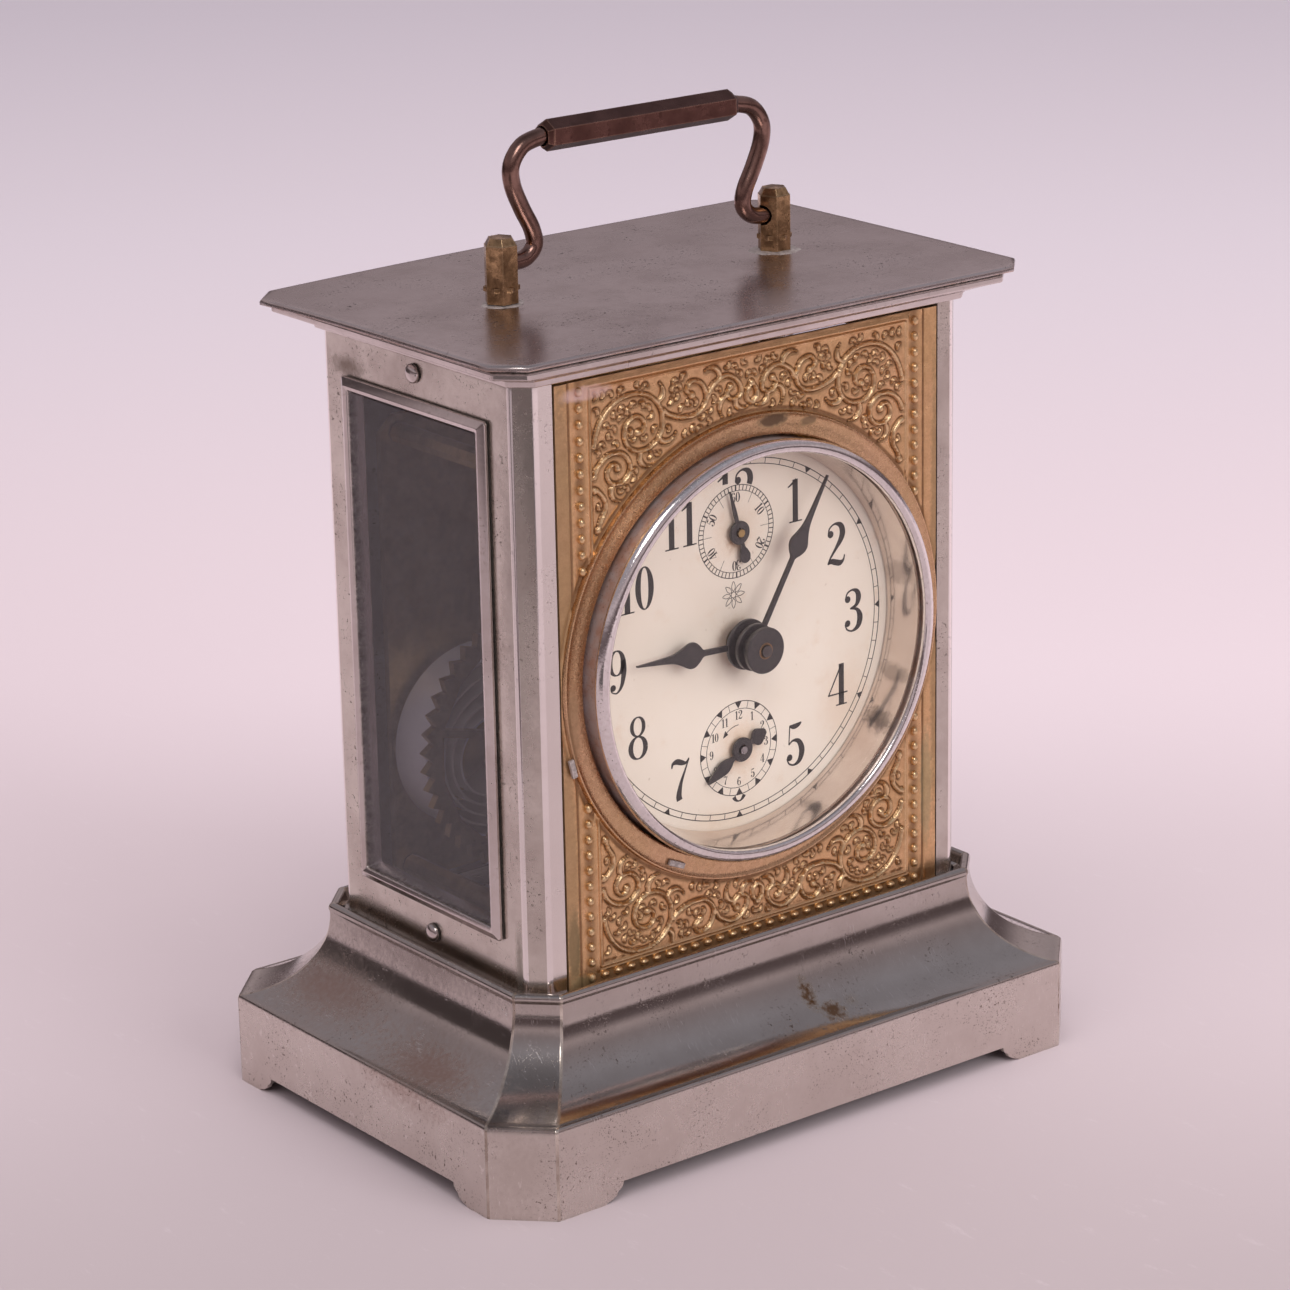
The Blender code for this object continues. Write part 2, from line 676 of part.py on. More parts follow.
def make_lid():
    half_x, half_y = LID_HALF
    sections = [
        (half_x, half_y, LID_CHAMFER, LID_LOW),
        (half_x, half_y, LID_CHAMFER, LID_TOP - 0.4 * MM),
        (half_x - 0.5 * MM, half_y - 0.5 * MM, LID_CHAMFER - 0.3 * MM, LID_TOP),
    ]
    add_piece("lid_plate", loft("lid_plate", sections, closed=False), "nickel")
    lip_x, lip_y = LIP_HALF
    foot_x, foot_y = CORNICE_HALF
    sections = [
        (lip_x - 1.2 * MM, lip_y - 1.2 * MM, 3.4 * MM, CORNICE_TOP),
        (lip_x, lip_y, 4.0 * MM, CORNICE_TOP - 0.5 * MM),
        (lip_x, lip_y, 4.0 * MM, CORNICE_TOP - 1.6 * MM),
        (lip_x - 2.9 * MM, lip_y - 2.6 * MM, 3.7 * MM, CORNICE_TOP - 2.4 * MM),
        (foot_x + 0.3 * MM, foot_y + 0.3 * MM, 3.2 * MM, CORNICE_TOP - 3.3 * MM),
        (foot_x, foot_y, 3.1 * MM, CORNICE_LOW),
        (foot_x - 3.0 * MM, foot_y - 3.0 * MM, 2.0 * MM, CORNICE_LOW),
        (foot_x - 3.0 * MM, foot_y - 3.0 * MM, 2.0 * MM, CORNICE_TOP),
    ]
    add_piece("lid_cornice", loft("lid_cornice", sections), "nickel")


def handle_arm():
    """One S-shaped arm from the post to the grip, as (distance from the middle, height) points."""
    corners = [
        (29.2, 144.4),
        (25.9, 144.4),
        (23.4, 144.8),
        (21.7, 146.6),
        (22.1, 149.3),
        (24.0, 152.9),
        (25.7, 156.9),
        (25.8, 160.2),
        (23.6, 163.0),
        (20.0, 164.0),
        (16.0, 164.0),
    ]
    points = [corners[0]]
    for i in range(1, len(corners) - 2):
        before, here, there, after = corners[i - 1 : i + 3]
        for step in range(2):
            t = step / 2
            points.append(
                tuple(
                    0.5 * (2 * b + (c - a) * t + (2 * a - 5 * b + 4 * c - d) * t**2 + (3 * b - 3 * c + d - a) * t**3)
                    for a, b, c, d in zip(before, here, there, after)
                )
            )
    return points + [corners[-2]]


def make_handle():
    corner = POST_FLATS / math.sqrt(3)
    foot = LID_TOP + 0.25 * MM
    for side, sign in (("left", -1), ("right", 1)):
        post = cylinder(corner, foot, POST_TOP - 1.2 * MM, 6, turn=math.pi / 6)
        cap = cylinder(corner * 0.98, POST_TOP - 1.3 * MM, POST_TOP, 6, top_radius=corner * 0.72, turn=math.pi / 6)
        thing = add_piece(f"handle_post_{side}", post, "brass", "up", (sign * HANDLE_X, 0, 0))
        combine(thing, cap, "UNION")
        depth = sorted((-sign * 5 * MM, sign * 1.3 * MM))
        bore = add_piece(
            f"post_bore_{side}",
            cylinder(ROD_RADIUS + PLAY, *depth, 12),
            None,
            "right",
            (sign * HANDLE_X, 0, HANDLE_AXIS_Z),
            tool=True,
        )
        boolean = thing.modifiers.new("bore", "BOOLEAN")
        boolean.operation = "DIFFERENCE"
        boolean.solver = "EXACT"
        boolean.object = bore

    arm = [(x * MM, 0, z * MM - HANDLE_AXIS_Z) for x, z in handle_arm()]
    route = arm + [(-x, y, z) for x, y, z in arm[::-1]]
    add_piece("handle_rod", wire(route, ROD_RADIUS), "copper", "up", (0, 0, HANDLE_AXIS_Z))

    corner = GRIP_FLATS / math.sqrt(3)
    chamfer = 0.9 * MM
    barrel = cylinder(corner, -GRIP_HALF + chamfer, GRIP_HALF - chamfer, 6)
    ends = [
        cylinder(corner * 0.75, -GRIP_HALF, -GRIP_HALF + chamfer + 0.05 * MM, 6, top_radius=corner * 0.99),
        cylinder(corner * 0.99, GRIP_HALF - chamfer - 0.05 * MM, GRIP_HALF, 6, top_radius=corner * 0.75),
    ]
    bore = cylinder(ROD_RADIUS + 0.25 * MM, -GRIP_HALF - MM, GRIP_HALF + MM, 12)
    pivot = bpy.data.objects.new("handle_axis", None)
    CLOCK.objects.link(pivot)
    pivot.location = (0, 0, HANDLE_AXIS_Z)
    grip = assemble("handle_grip", "copper", "right", (0, 0, GRIP_Z - HANDLE_AXIS_Z), [barrel] + ends, [bore])
    grip.parent = pivot
    for modifier in grip.modifiers:
        modifier.object.parent = pivot


# ----------------------------------------------------------- movement, fixed
def make_plates():
    outline = [
        (x, y - DIAL_Z + (PLATE_LOW + PLATE_HIGH) / 2)
        for x, y in chamfered(PLATE_HALF, (PLATE_HIGH - PLATE_LOW) / 2, 3 * MM)
    ]

    def around(point, radius, count=8):
        return circle(radius, count, (point[0], point[1] - DIAL_Z))

    pivots = [THIRD, ESCAPE, FORK, BALANCE, ALARM_ESCAPE, HAMMER, TIME_SPRING, ALARM_SPRING]
    small = [around(point, PIVOT + PLAY) for point in pivots]
    through = [around(point, ARBOR + PLAY, 10) for point in (CENTRE, SECONDS, ALARM_SET)]
    front = flat([outline] + small + through, *FRONT_PLATE)
    stud = cylinder(
        0.9 * MM,
        FRONT_PLATE[0] + 0.2 * MM,
        21.5 * MM,
        10,
        (MINUTE_STUD[0], MINUTE_STUD[1] - DIAL_Z),
    )
    assemble("front_plate", "brass", "front", at(CENTRE), [front, stud])

    pivots = [THIRD, SECONDS, ESCAPE, FORK, BALANCE, ALARM_ESCAPE, HAMMER]
    small = [around(point, PIVOT + PLAY) for point in pivots]
    through = [around(point, ARBOR + PLAY, 10) for point in (CENTRE, ALARM_SET)]
    keyed = [around(point, 1.8 * MM + PLAY, 10) for point in (TIME_SPRING, ALARM_SPRING)]
    back = flat([outline] + small + through + keyed, *BACK_PLATE)
    add_piece("back_plate", back, "brass", "front", at(CENTRE))
    for number, (x, z) in enumerate(PILLARS, start=1):
        rod = cylinder(1.8 * MM, BACK_PLATE[1] + PLAY, FRONT_PLATE[0] - PLAY, 8)
        add_piece(f"pillar_{number}", rod, "brass", "front", (x * MM, 0, z * MM))


def spiral(start_radius, end_radius, turns, thickness, drift, low, high, first_angle, per_turn=14):
    """A flat spring's ribbon. Its coils drift aside as they grow, like those of a spring that has run down."""
    count = int(turns * per_turn)
    inner, outer = [], []
    for i in range(count + 1):
        share = i / count
        angle = first_angle + 2 * math.pi * turns * share
        radius = start_radius + (end_radius - start_radius) * share
        centre = (drift[0] * share, drift[1] * share)
        for points, offset in ((inner, -thickness / 2), (outer, thickness / 2)):
            reach = radius + offset
            points.append((centre[0] + reach * math.cos(angle), centre[1] + reach * math.sin(angle)))
    return flat([outer + inner[::-1]], low, high)


def make_springs():
    time_coils = spiral(
        4.5 * MM, 19.3 * MM, 3.6, 0.5 * MM, (-3.2 * MM, -2.4 * MM), -18.8 * MM, -9.8 * MM, math.radians(20)
    )
    add_piece("time_mainspring", time_coils, "steel", "front", at(TIME_SPRING))
    alarm_coils = spiral(
        4.0 * MM, 15.8 * MM, 3.0, 0.5 * MM, (0.6 * MM, -1.2 * MM), 5.5 * MM, 12.5 * MM, math.radians(200)
    )
    add_piece("alarm_mainspring", alarm_coils, "steel", "front", at(ALARM_SPRING))
    hair = spiral(1.6 * MM, 6.0 * MM, 3.5, 0.25 * MM, (0, 0), -7.4 * MM, -6.6 * MM, 0.0, per_turn=10)
    add_piece("hairspring", hair, "steel", "front", at(BALANCE))


# ------------------------------------------------------------ hands and motion work
def spade_hand(length, spade_at, spade_width, hub, angle, low, high):
    """A flat spade hand pointing along the angle, clockwise from the top, with a hole at its hub."""
    half_tip, half_stem = 0.12 * MM, 0.55 * MM
    head = 3.4 * MM
    side = [
        (half_stem, hub * 0.8),
        (half_stem, spade_at - head * 0.55),
        (spade_width * 0.3, spade_at - head * 0.5),
        (spade_width * 0.5, spade_at - head * 0.1),
        (spade_width * 0.36, spade_at + head * 0.3),
        (half_tip + 0.3 * MM, spade_at + head * 0.62),
        (half_tip, length),
    ]
    outline = side + [(-x, y) for x, y in side[::-1]]
    turned_outline = [
        (x * math.cos(angle) + y * math.sin(angle), y * math.cos(angle) - x * math.sin(angle))
        for x, y in outline
    ]
    return flat([turned_outline], low, high)


def make_hands():
    minute_angle = math.radians(TIME_IN_MINUTES % 60 * 6)
    hour_angle = math.radians(TIME_IN_MINUTES / 2)
    blade = spade_hand(MINUTE_LENGTH, 18.5 * MM, 4.0 * MM, 4.0 * MM, minute_angle, *MINUTE_HAND)
    bore = ARBOR + PLAY
    collet = ring(bore, 4.0 * MM, MINUTE_HAND[0] - 0.1 * MM, MINUTE_HAND[1] + 0.1 * MM, 16)
    neck = ring(bore, 2.3 * MM, MINUTE_HAND[1], 30.6 * MM, 16)
    cap = ring(bore, 3.9 * MM, 30.5 * MM, 31.3 * MM, 16)
    assemble("minute_hand", "black", "front", at(CENTRE), [collet, blade, neck, cap])

    blade = spade_hand(HOUR_LENGTH, 12.2 * MM, 4.4 * MM, 4.2 * MM, hour_angle, *HOUR_HAND)
    collet = ring(2.3 * MM, 4.3 * MM, HOUR_HAND[0] - 0.1 * MM, HOUR_HAND[1] + 0.1 * MM, 16)
    assemble("hour_hand", "black", "front", at(CENTRE), [collet, blade])


def small_hand(name, point, angle, length, tail, tail_half):
    """A small pointer with a round boss on an arbor, and a tail."""
    outline = [
        (0.5 * MM, 0.8 * MM),
        (0.1 * MM, length),
        (-0.1 * MM, length),
        (-0.5 * MM, 0.8 * MM),
        (-tail_half, -tail + 0.4 * MM),
        (-tail_half * 0.5, -tail),
        (tail_half * 0.5, -tail),
        (tail_half, -tail + 0.4 * MM),
    ]
    blade = [
        (x * math.cos(angle) + y * math.sin(angle), y * math.cos(angle) - x * math.sin(angle))
        for x, y in outline
    ]
    boss = cylinder(2.1 * MM, SMALL_HAND[0] - 0.1 * MM, SMALL_HAND[1] + 0.1 * MM, 14)
    bore = cylinder(PIVOT + PLAY, SMALL_HAND[0] - MM, SMALL_HAND[1] + MM, 10)
    assemble(name, "black", "front", at(point), [boss, flat([blade], *SMALL_HAND)], [bore])


def make_motion_work():
    """The wheels between the front plate and the dial, which drive the hour hand and the alarm wheel."""
    plane = (18.8 * MM, 19.8 * MM)
    towards_stud = direction(CENTRE, MINUTE_STUD)
    cannon_turn = 0.0
    minute_turn = meshed_turn(cannon_turn, CANNON_TEETH, towards_stud, MINUTE_TEETH)
    pinion_turn = 0.0
    hour_turn = meshed_turn(pinion_turn, MINUTE_PINION, towards_stud + math.pi, HOUR_TEETH)
    alarm_turn = meshed_turn(hour_turn, HOUR_TEETH, direction(CENTRE, ALARM_SET), ALARM_TEETH)

    shaft = cylinder(ARBOR, -35.5 * MM, 31.7 * MM, 12, turn=0.2)
    cannon = pinion(CANNON_TEETH, CANNON_MODULE, cannon_turn, 16.1 * MM, 18.0 * MM)
    collar = cylinder(1.8 * MM, -8.0 * MM, -6.4 * MM, 10, turn=0.1)
    assemble("centre_arbor", "steel", "front", at(CENTRE), [shaft, cannon, collar])
    knob = [knob_part(*part) for part in KNOB_PARTS]
    bore = cylinder(ARBOR + 0.25 * MM, -37 * MM, -29 * MM, 12)
    assemble("hand_set_knob", "brass", "front", at(CENTRE), knob, [bore])

    big = wheel(MINUTE_TEETH, CANNON_MODULE, minute_turn, 16.6 * MM, 17.5 * MM, spokes=0, bore=1.2 * MM)
    small = pinion(MINUTE_PINION, HOUR_MODULE, pinion_turn, 17.4 * MM, 20.4 * MM, bore=1.2 * MM)
    assemble("minute_wheel", "brass", "front", at(MINUTE_STUD), [big, small])

    pipe = ring(ARBOR + PLAY, 2.0 * MM, 18.5 * MM, 27.2 * MM, 12)
    disc = wheel(HOUR_TEETH, HOUR_MODULE, hour_turn, *plane, bore=1.7 * MM, spokes=0)
    assemble("hour_wheel", "brass", "front", at(CENTRE), [disc, pipe])

    disc = wheel(ALARM_TEETH, HOUR_MODULE, alarm_turn, *plane, bore=1.3 * MM, spokes=0)
    add_piece("alarm_wheel", disc, "brass", "front", at(ALARM_SET))

    shaft = cylinder(PIVOT, -22.0 * MM, 25.4 * MM, 10)
    thick = cylinder(ARBOR, -34.5 * MM, -21.0 * MM, 10)
    stop = cylinder(2.0 * MM, 16.2 * MM, 18.2 * MM, 10)
    knob = [knob_part(*part) for part in KNOB_PARTS]
    assemble("alarm_set_arbor", "steel", "front", at(ALARM_SET), [shaft, thick, stop] + knob)
    small_hand("alarm_hand", ALARM_SET, ALARM_ANGLE, 8.6 * MM, 3.8 * MM, 1.2 * MM)


def knob_part(radius, near, far, segments):
    """A thumb knob's disc or neck, at distances behind the mid-plane."""
    return cylinder(radius, -far, -near, segments)


# ------------------------------------------------------------------ going train
def make_going_train():
    third_turn = meshed_turn(0.0, CENTRE_TEETH, direction(CENTRE, THIRD), THIRD_PINION)
    seconds_turn = meshed_turn(0.0, THIRD_TEETH, direction(THIRD, SECONDS), SECONDS_PINION)
    escape_turn = meshed_turn(0.0, SECONDS_TEETH, direction(SECONDS, ESCAPE), ESCAPE_PINION)
    centre_turn = meshed_turn(0.0, GREAT_TEETH, direction(TIME_SPRING, CENTRE), CENTRE_PINION)
    bore = ARBOR + PLAY

    disc = wheel(CENTRE_TEETH, THIRD_MODULE, 0.0, -4.0 * MM, -3.0 * MM, bore=bore, hub=5.0 * MM)
    leaves = pinion(CENTRE_PINION, GREAT_MODULE, centre_turn, -9.2 * MM, -3.9 * MM, bore=2.2 * MM)
    assemble("centre_wheel", "brass", "front", at(CENTRE), [disc, leaves])

    disc = wheel(GREAT_TEETH, GREAT_MODULE, 0.0, -8.5 * MM, -7.0 * MM, bore=2.3 * MM, spokes=5, hub=5.5 * MM)
    add_piece("great_wheel", disc, "brass", "front", at(TIME_SPRING))

    shaft = cylinder(PIVOT, *PIVOT_ENDS, 8)
    disc = wheel(THIRD_TEETH, SECONDS_MODULE, 0.0, 1.0 * MM, 1.9 * MM)
    leaves = pinion(THIRD_PINION, THIRD_MODULE, third_turn, -5.5 * MM, -1.5 * MM)
    assemble("third_wheel", "brass", "front", at(THIRD), [disc, leaves, shaft])

    shaft = cylinder(PIVOT, PIVOT_ENDS[0], 25.4 * MM, 10)
    disc = wheel(SECONDS_TEETH, ESCAPE_MODULE, 0.0, 5.0 * MM, 5.8 * MM, hub=2.6 * MM)
    leaves = pinion(SECONDS_PINION, SECONDS_MODULE, seconds_turn, 0.0, 3.2 * MM)
    assemble("seconds_wheel", "brass", "front", at(SECONDS), [disc, leaves, shaft])
    small_hand("seconds_hand", SECONDS, SECONDS_ANGLE, 7.6 * MM, 4.6 * MM, 0.9 * MM)

    shaft = cylinder(PIVOT, *PIVOT_ENDS, 8)
    leaves = pinion(ESCAPE_PINION, ESCAPE_MODULE, escape_turn, 4.0 * MM, 7.0 * MM)
    disc = flat([hooked_outline(ESCAPE_TEETH, ESCAPE_TIP, ESCAPE_ROOT)], 9.0 * MM, 9.7 * MM)
    assemble("escape_wheel", "brass", "front", at(ESCAPE), [disc, leaves, shaft])


def hooked_outline(teeth, tip, root):
    """The slanted teeth of an escape wheel or a ratchet."""
    points = []
    for i in range(teeth):
        angle = 2 * math.pi * i / teeth
        lean = 2 * math.pi / teeth * 0.8
        points.append((tip * math.cos(angle), tip * math.sin(angle)))
        points.append((root * math.cos(angle + lean), root * math.sin(angle + lean)))
    return points


def make_escapement():
    gap = distance(ESCAPE, FORK)
    reach = ESCAPE_TIP + PALLET_GAP
    arms = [
        (1.2 * MM, 1.0 * MM),
        (-1.0 * MM, 5.2 * MM),
        (-gap + reach * 0.62, 5.9 * MM),
        (-gap + reach * 0.72, 4.9 * MM),
        (-2.0 * MM, 2.4 * MM),
    ]
    fork = [
        (1.6 * MM, 0.7 * MM),
        (6.2 * MM, 0.9 * MM),
        (7.8 * MM, 1.5 * MM),
        (7.8 * MM, -1.5 * MM),
        (6.2 * MM, -0.9 * MM),
        (1.6 * MM, -0.7 * MM),
    ]
    outline = arms + [(x, -y) for x, y in arms[::-1]] + fork[::-1]
    body = flat([outline], 8.9 * MM, 9.8 * MM)
    shaft = cylinder(PIVOT, *PIVOT_ENDS, 8)
    assemble("pallet_fork", "steel", "front", at(FORK), [body, shaft])

    rim = flat([circle(BALANCE_RADIUS, 24)] + crossings(BALANCE_RADIUS - 1.2 * MM, 1.6 * MM, 2), -4.0 * MM, -2.8 * MM)
    shaft = cylinder(PIVOT, *PIVOT_ENDS, 8)
    roller = cylinder(1.6 * MM, 7.6 * MM, 8.4 * MM, 10)
    assemble("balance_wheel", "brass", "front", at(BALANCE), [rim, shaft, roller])

    outline = [
        (-1.0 * MM, 2.6 * MM),
        (-0.7 * MM, REGULATOR_LENGTH),
        (0.7 * MM, REGULATOR_LENGTH),
        (1.0 * MM, 2.6 * MM),
    ]
    boss = ring(1.2 * MM, 3.0 * MM, 22.0 * MM, 22.8 * MM, 14)
    lever = flat([outline], 22.1 * MM, 22.7 * MM)
    finger = box(
        (-0.6 * MM, REGULATOR_LENGTH - 3.0 * MM, 22.2 * MM),
        (0.6 * MM, REGULATOR_LENGTH - 1.6 * MM, 31.0 * MM),
    )
    assemble("regulator", "steel", "back", at(BALANCE), [boss, lever, finger])


# ------------------------------------------------------------- winding and alarm
def make_winding(prefix, point, ratchet, front_end):
    """A winding arbor with its ratchet wheel, and the winged key on its end."""
    shaft = cylinder(1.8 * MM, -30.5 * MM, front_end, 12)
    pivot = cylinder(PIVOT, front_end - 0.2 * MM, PIVOT_ENDS[1], 8)
    toothed = flat([hooked_outline(12, 5.6 * MM, 4.6 * MM)], *ratchet)
    assemble(f"{prefix}_winding_arbor", "steel", "front", at(point), [shaft, pivot, toothed])

    hub = cylinder(3.2 * MM, 29.2 * MM, 34.5 * MM, 14)
    wing = [
        (-2.0 * MM, 33.5 * MM),
        (-8.0 * MM, 35.2 * MM),
        (-8.6 * MM, 38.6 * MM),
        (-7.2 * MM, 41.6 * MM),
        (-3.4 * MM, 42.4 * MM),
        (0.0, 40.6 * MM),
        (3.4 * MM, 42.4 * MM),
        (7.2 * MM, 41.6 * MM),
        (8.6 * MM, 38.6 * MM),
        (8.0 * MM, 35.2 * MM),
        (2.0 * MM, 33.5 * MM),
    ]
    wings = flat([wing], -0.8 * MM, 0.8 * MM)
    wings.transform(Matrix.Rotation(math.pi / 2, 4, "X"))
    bore = cylinder(1.8 * MM + 0.25 * MM, 28 * MM, 31.2 * MM, 12)
    assemble(f"{prefix}_key", "brass", "back", at(point), [hub, wings], [bore])


def make_alarm():
    pinion_turn = meshed_turn(0.0, ALARM_GREAT_TEETH, direction(ALARM_SPRING, ALARM_ESCAPE), ALARM_PINION)
    disc = wheel(ALARM_GREAT_TEETH, ALARM_MODULE, 0.0, 3.0 * MM, 4.4 * MM, bore=2.3 * MM, hub=6.0 * MM)
    add_piece("alarm_great_wheel", disc, "brass", "front", at(ALARM_SPRING))

    shaft = cylinder(PIVOT, *PIVOT_ENDS, 8)
    leaves = pinion(ALARM_PINION, ALARM_MODULE, pinion_turn, 2.4 * MM, 5.0 * MM)
    disc = flat([hooked_outline(10, 4.2 * MM, 3.0 * MM)], 7.0 * MM, 7.9 * MM)
    assemble("alarm_escape_wheel", "brass", "front", at(ALARM_ESCAPE), [disc, leaves, shaft])

    depth = -12.0 * MM
    drop = HAMMER[1] - BELL_HEAD_Z
    shaft = cylinder(PIVOT, *PIVOT_ENDS, 8)
    hub = cylinder(2.0 * MM, depth - 1.5 * MM, depth + 1.5 * MM, 10)
    rod = box((-0.6 * MM, -drop, depth - 0.6 * MM), (0.6 * MM, -0.5 * MM, depth + 0.6 * MM))
    head = cylinder(2.4 * MM, depth - 2.6 * MM, depth + 2.6 * MM, 12, (0, -drop))
    assemble("hammer", "steel", "front", at(HAMMER), [shaft, hub, rod, head])

    outline = [
        (-2.2 * MM, -2.2 * MM),
        (2.2 * MM, -2.2 * MM),
        (1.2 * MM, 12.0 * MM),
        (-1.2 * MM, 12.0 * MM),
    ]
    lever = flat([outline, circle(1.0 * MM, 8)], 22.0 * MM, 22.8 * MM)
    finger = cylinder(1.1 * MM, 22.2 * MM, 32.0 * MM, 10, (0, STOP_LENGTH))
    assemble("alarm_stop_lever", "steel", "back", at(STOP_LEVER), [lever, finger])


for leftover in list(bpy.data.objects):
    bpy.data.objects.remove(leftover)
CLOCK = make_collection("carriage_alarm_clock")
TOOLS = make_collection("tools")

make_base()
make_bell()
make_side("left")
make_side("right")
make_front()
make_dial()
make_lid()
make_handle()
make_plates()
make_springs()
make_hands()
make_motion_work()
make_going_train()
make_escapement()
make_winding("time", TIME_SPRING, (-6.4 * MM, -5.2 * MM), 4.0 * MM)
make_winding("alarm", ALARM_SPRING, (1.0 * MM, 2.2 * MM), 13.4 * MM)
make_alarm()
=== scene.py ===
"""The looks of a small carriage alarm clock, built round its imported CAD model.

Lengths are in millimetres until a mesh is made. The clock faces -Y and stands on z = 0.
Places on the front are (x, height above the dial's centre, depth in front of the mid-plane).
A shape is a pair: its points and its faces.
"""

import contextlib
import json
import math
import random

import bmesh
import bpy
import numpy as np
from mathutils import Matrix, Vector

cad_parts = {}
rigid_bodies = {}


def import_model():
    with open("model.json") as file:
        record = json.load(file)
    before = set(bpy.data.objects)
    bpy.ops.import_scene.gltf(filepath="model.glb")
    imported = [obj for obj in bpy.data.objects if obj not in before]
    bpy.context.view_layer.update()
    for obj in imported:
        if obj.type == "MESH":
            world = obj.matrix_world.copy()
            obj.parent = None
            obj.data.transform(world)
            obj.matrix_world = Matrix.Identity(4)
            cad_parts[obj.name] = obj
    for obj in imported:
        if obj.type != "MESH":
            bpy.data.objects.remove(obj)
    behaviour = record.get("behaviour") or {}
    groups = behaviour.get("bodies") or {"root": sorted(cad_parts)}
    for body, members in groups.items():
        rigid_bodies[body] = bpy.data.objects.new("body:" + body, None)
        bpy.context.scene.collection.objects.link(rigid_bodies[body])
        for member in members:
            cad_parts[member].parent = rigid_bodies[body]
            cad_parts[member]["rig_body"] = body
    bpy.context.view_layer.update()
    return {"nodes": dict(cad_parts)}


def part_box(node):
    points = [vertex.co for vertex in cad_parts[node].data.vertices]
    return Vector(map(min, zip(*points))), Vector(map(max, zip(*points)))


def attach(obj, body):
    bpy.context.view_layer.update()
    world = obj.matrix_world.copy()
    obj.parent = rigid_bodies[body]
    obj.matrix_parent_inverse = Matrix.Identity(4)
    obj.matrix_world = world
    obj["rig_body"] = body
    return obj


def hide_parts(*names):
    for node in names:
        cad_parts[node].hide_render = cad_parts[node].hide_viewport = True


MM = 0.001
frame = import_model()


def box_mm(node):
    """A CAD node's lowest and highest corner, in millimetres."""
    low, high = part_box(node)
    return low / MM, high / MM


def depths(node):
    """How far in front of the mid-plane a CAD node's back and front lie."""
    low, high = box_mm(node)
    return -high.y, -low.y


# ------------------------------------------------------- dimensions from the frame
BASE_HALF = box_mm("base_shell")[1].xy
RIM_TOP = box_mm("base_shell")[1].z
BODY_HALF = box_mm("side_wall_right")[1].xy
SIDE_X = BODY_HALF.x
FACE = BODY_HALF.y
PANEL_LOW, PANEL_HIGH = box_mm("front_panel")[0].z, box_mm("front_panel")[1].z
PANEL_HALF = box_mm("front_panel")[1].x
LID_HALF = box_mm("lid_plate")[1].xy
LID_LOW, LID_TOP = box_mm("lid_plate")[0].z, box_mm("lid_plate")[1].z
DIAL_LOW, DIAL_HIGH = box_mm("dial")
DIAL_Z = (DIAL_LOW.z + DIAL_HIGH.z) / 2
DIAL_RADIUS = DIAL_HIGH.x
DIAL_BACK, DIAL_FACE = depths("dial")
BEZEL_RIM = box_mm("bezel")[1].x
BEZEL_BACK, BEZEL_CREST = depths("bezel")
GLASS_BACK, GLASS_FRONT = depths("front_glass")
POST_X = (box_mm("handle_post_right")[0].x + box_mm("handle_post_right")[1].x) / 2

# ------------------------------------------------------------ driving dimensions
BASE_CHAMFER = 8.1
APRON_TOP = 15.9
RIM_HALF = (49.3, 31.9)
RIM_CHAMFER = 5.5
RIM_BOTTOM = 30.4
SHEET = 0.8
FOOT_REACH = (41.3, 26.7)
LID_CHAMFER = 4.5
LID_DROOP = 0.9
ROD_RADIUS = 1.42
OPENING_RADIUS = 36.24
RING_RADIUS = 39.5
BEZEL_RADIUS = 35.0
BEZEL_LIP = 33.3
BEZEL_FLOOR = 32.3
SURROUND_RADII = (32.4, 33.4)
GLASS_RISE = 1.2
WINDOW_HALF = (19.85, 43.5)
WINDOW_Z = 82.0
PANE_INSET = 2.45
SECONDS_Z = 18.69
ALARM_Z = -18.76
MINUTE_ANGLE = math.radians(30.96)
HOUR_ANGLE = math.radians(272.58)
SECONDS_ANGLE = math.radians(-14.6)
ALARM_ANGLE = math.radians(238.5)
ALARM_TAIL_ANGLE = math.radians(66)
INKED = (DIAL_FACE - 0.01, DIAL_FACE + 0.03)
RELIEF_STEP = 0.22
FIELD_HALF = (32.4, 48.9)
FIELD_LOW = 47.3
BEAD_COLUMN = 34.8
BEAD_ROW = 49.1
BEAD_PITCH = 2.65
BEAD_RADIUS = 0.66
# A stain no stronger than this fades out over its whole width.
FAINT_STAIN = 0.8


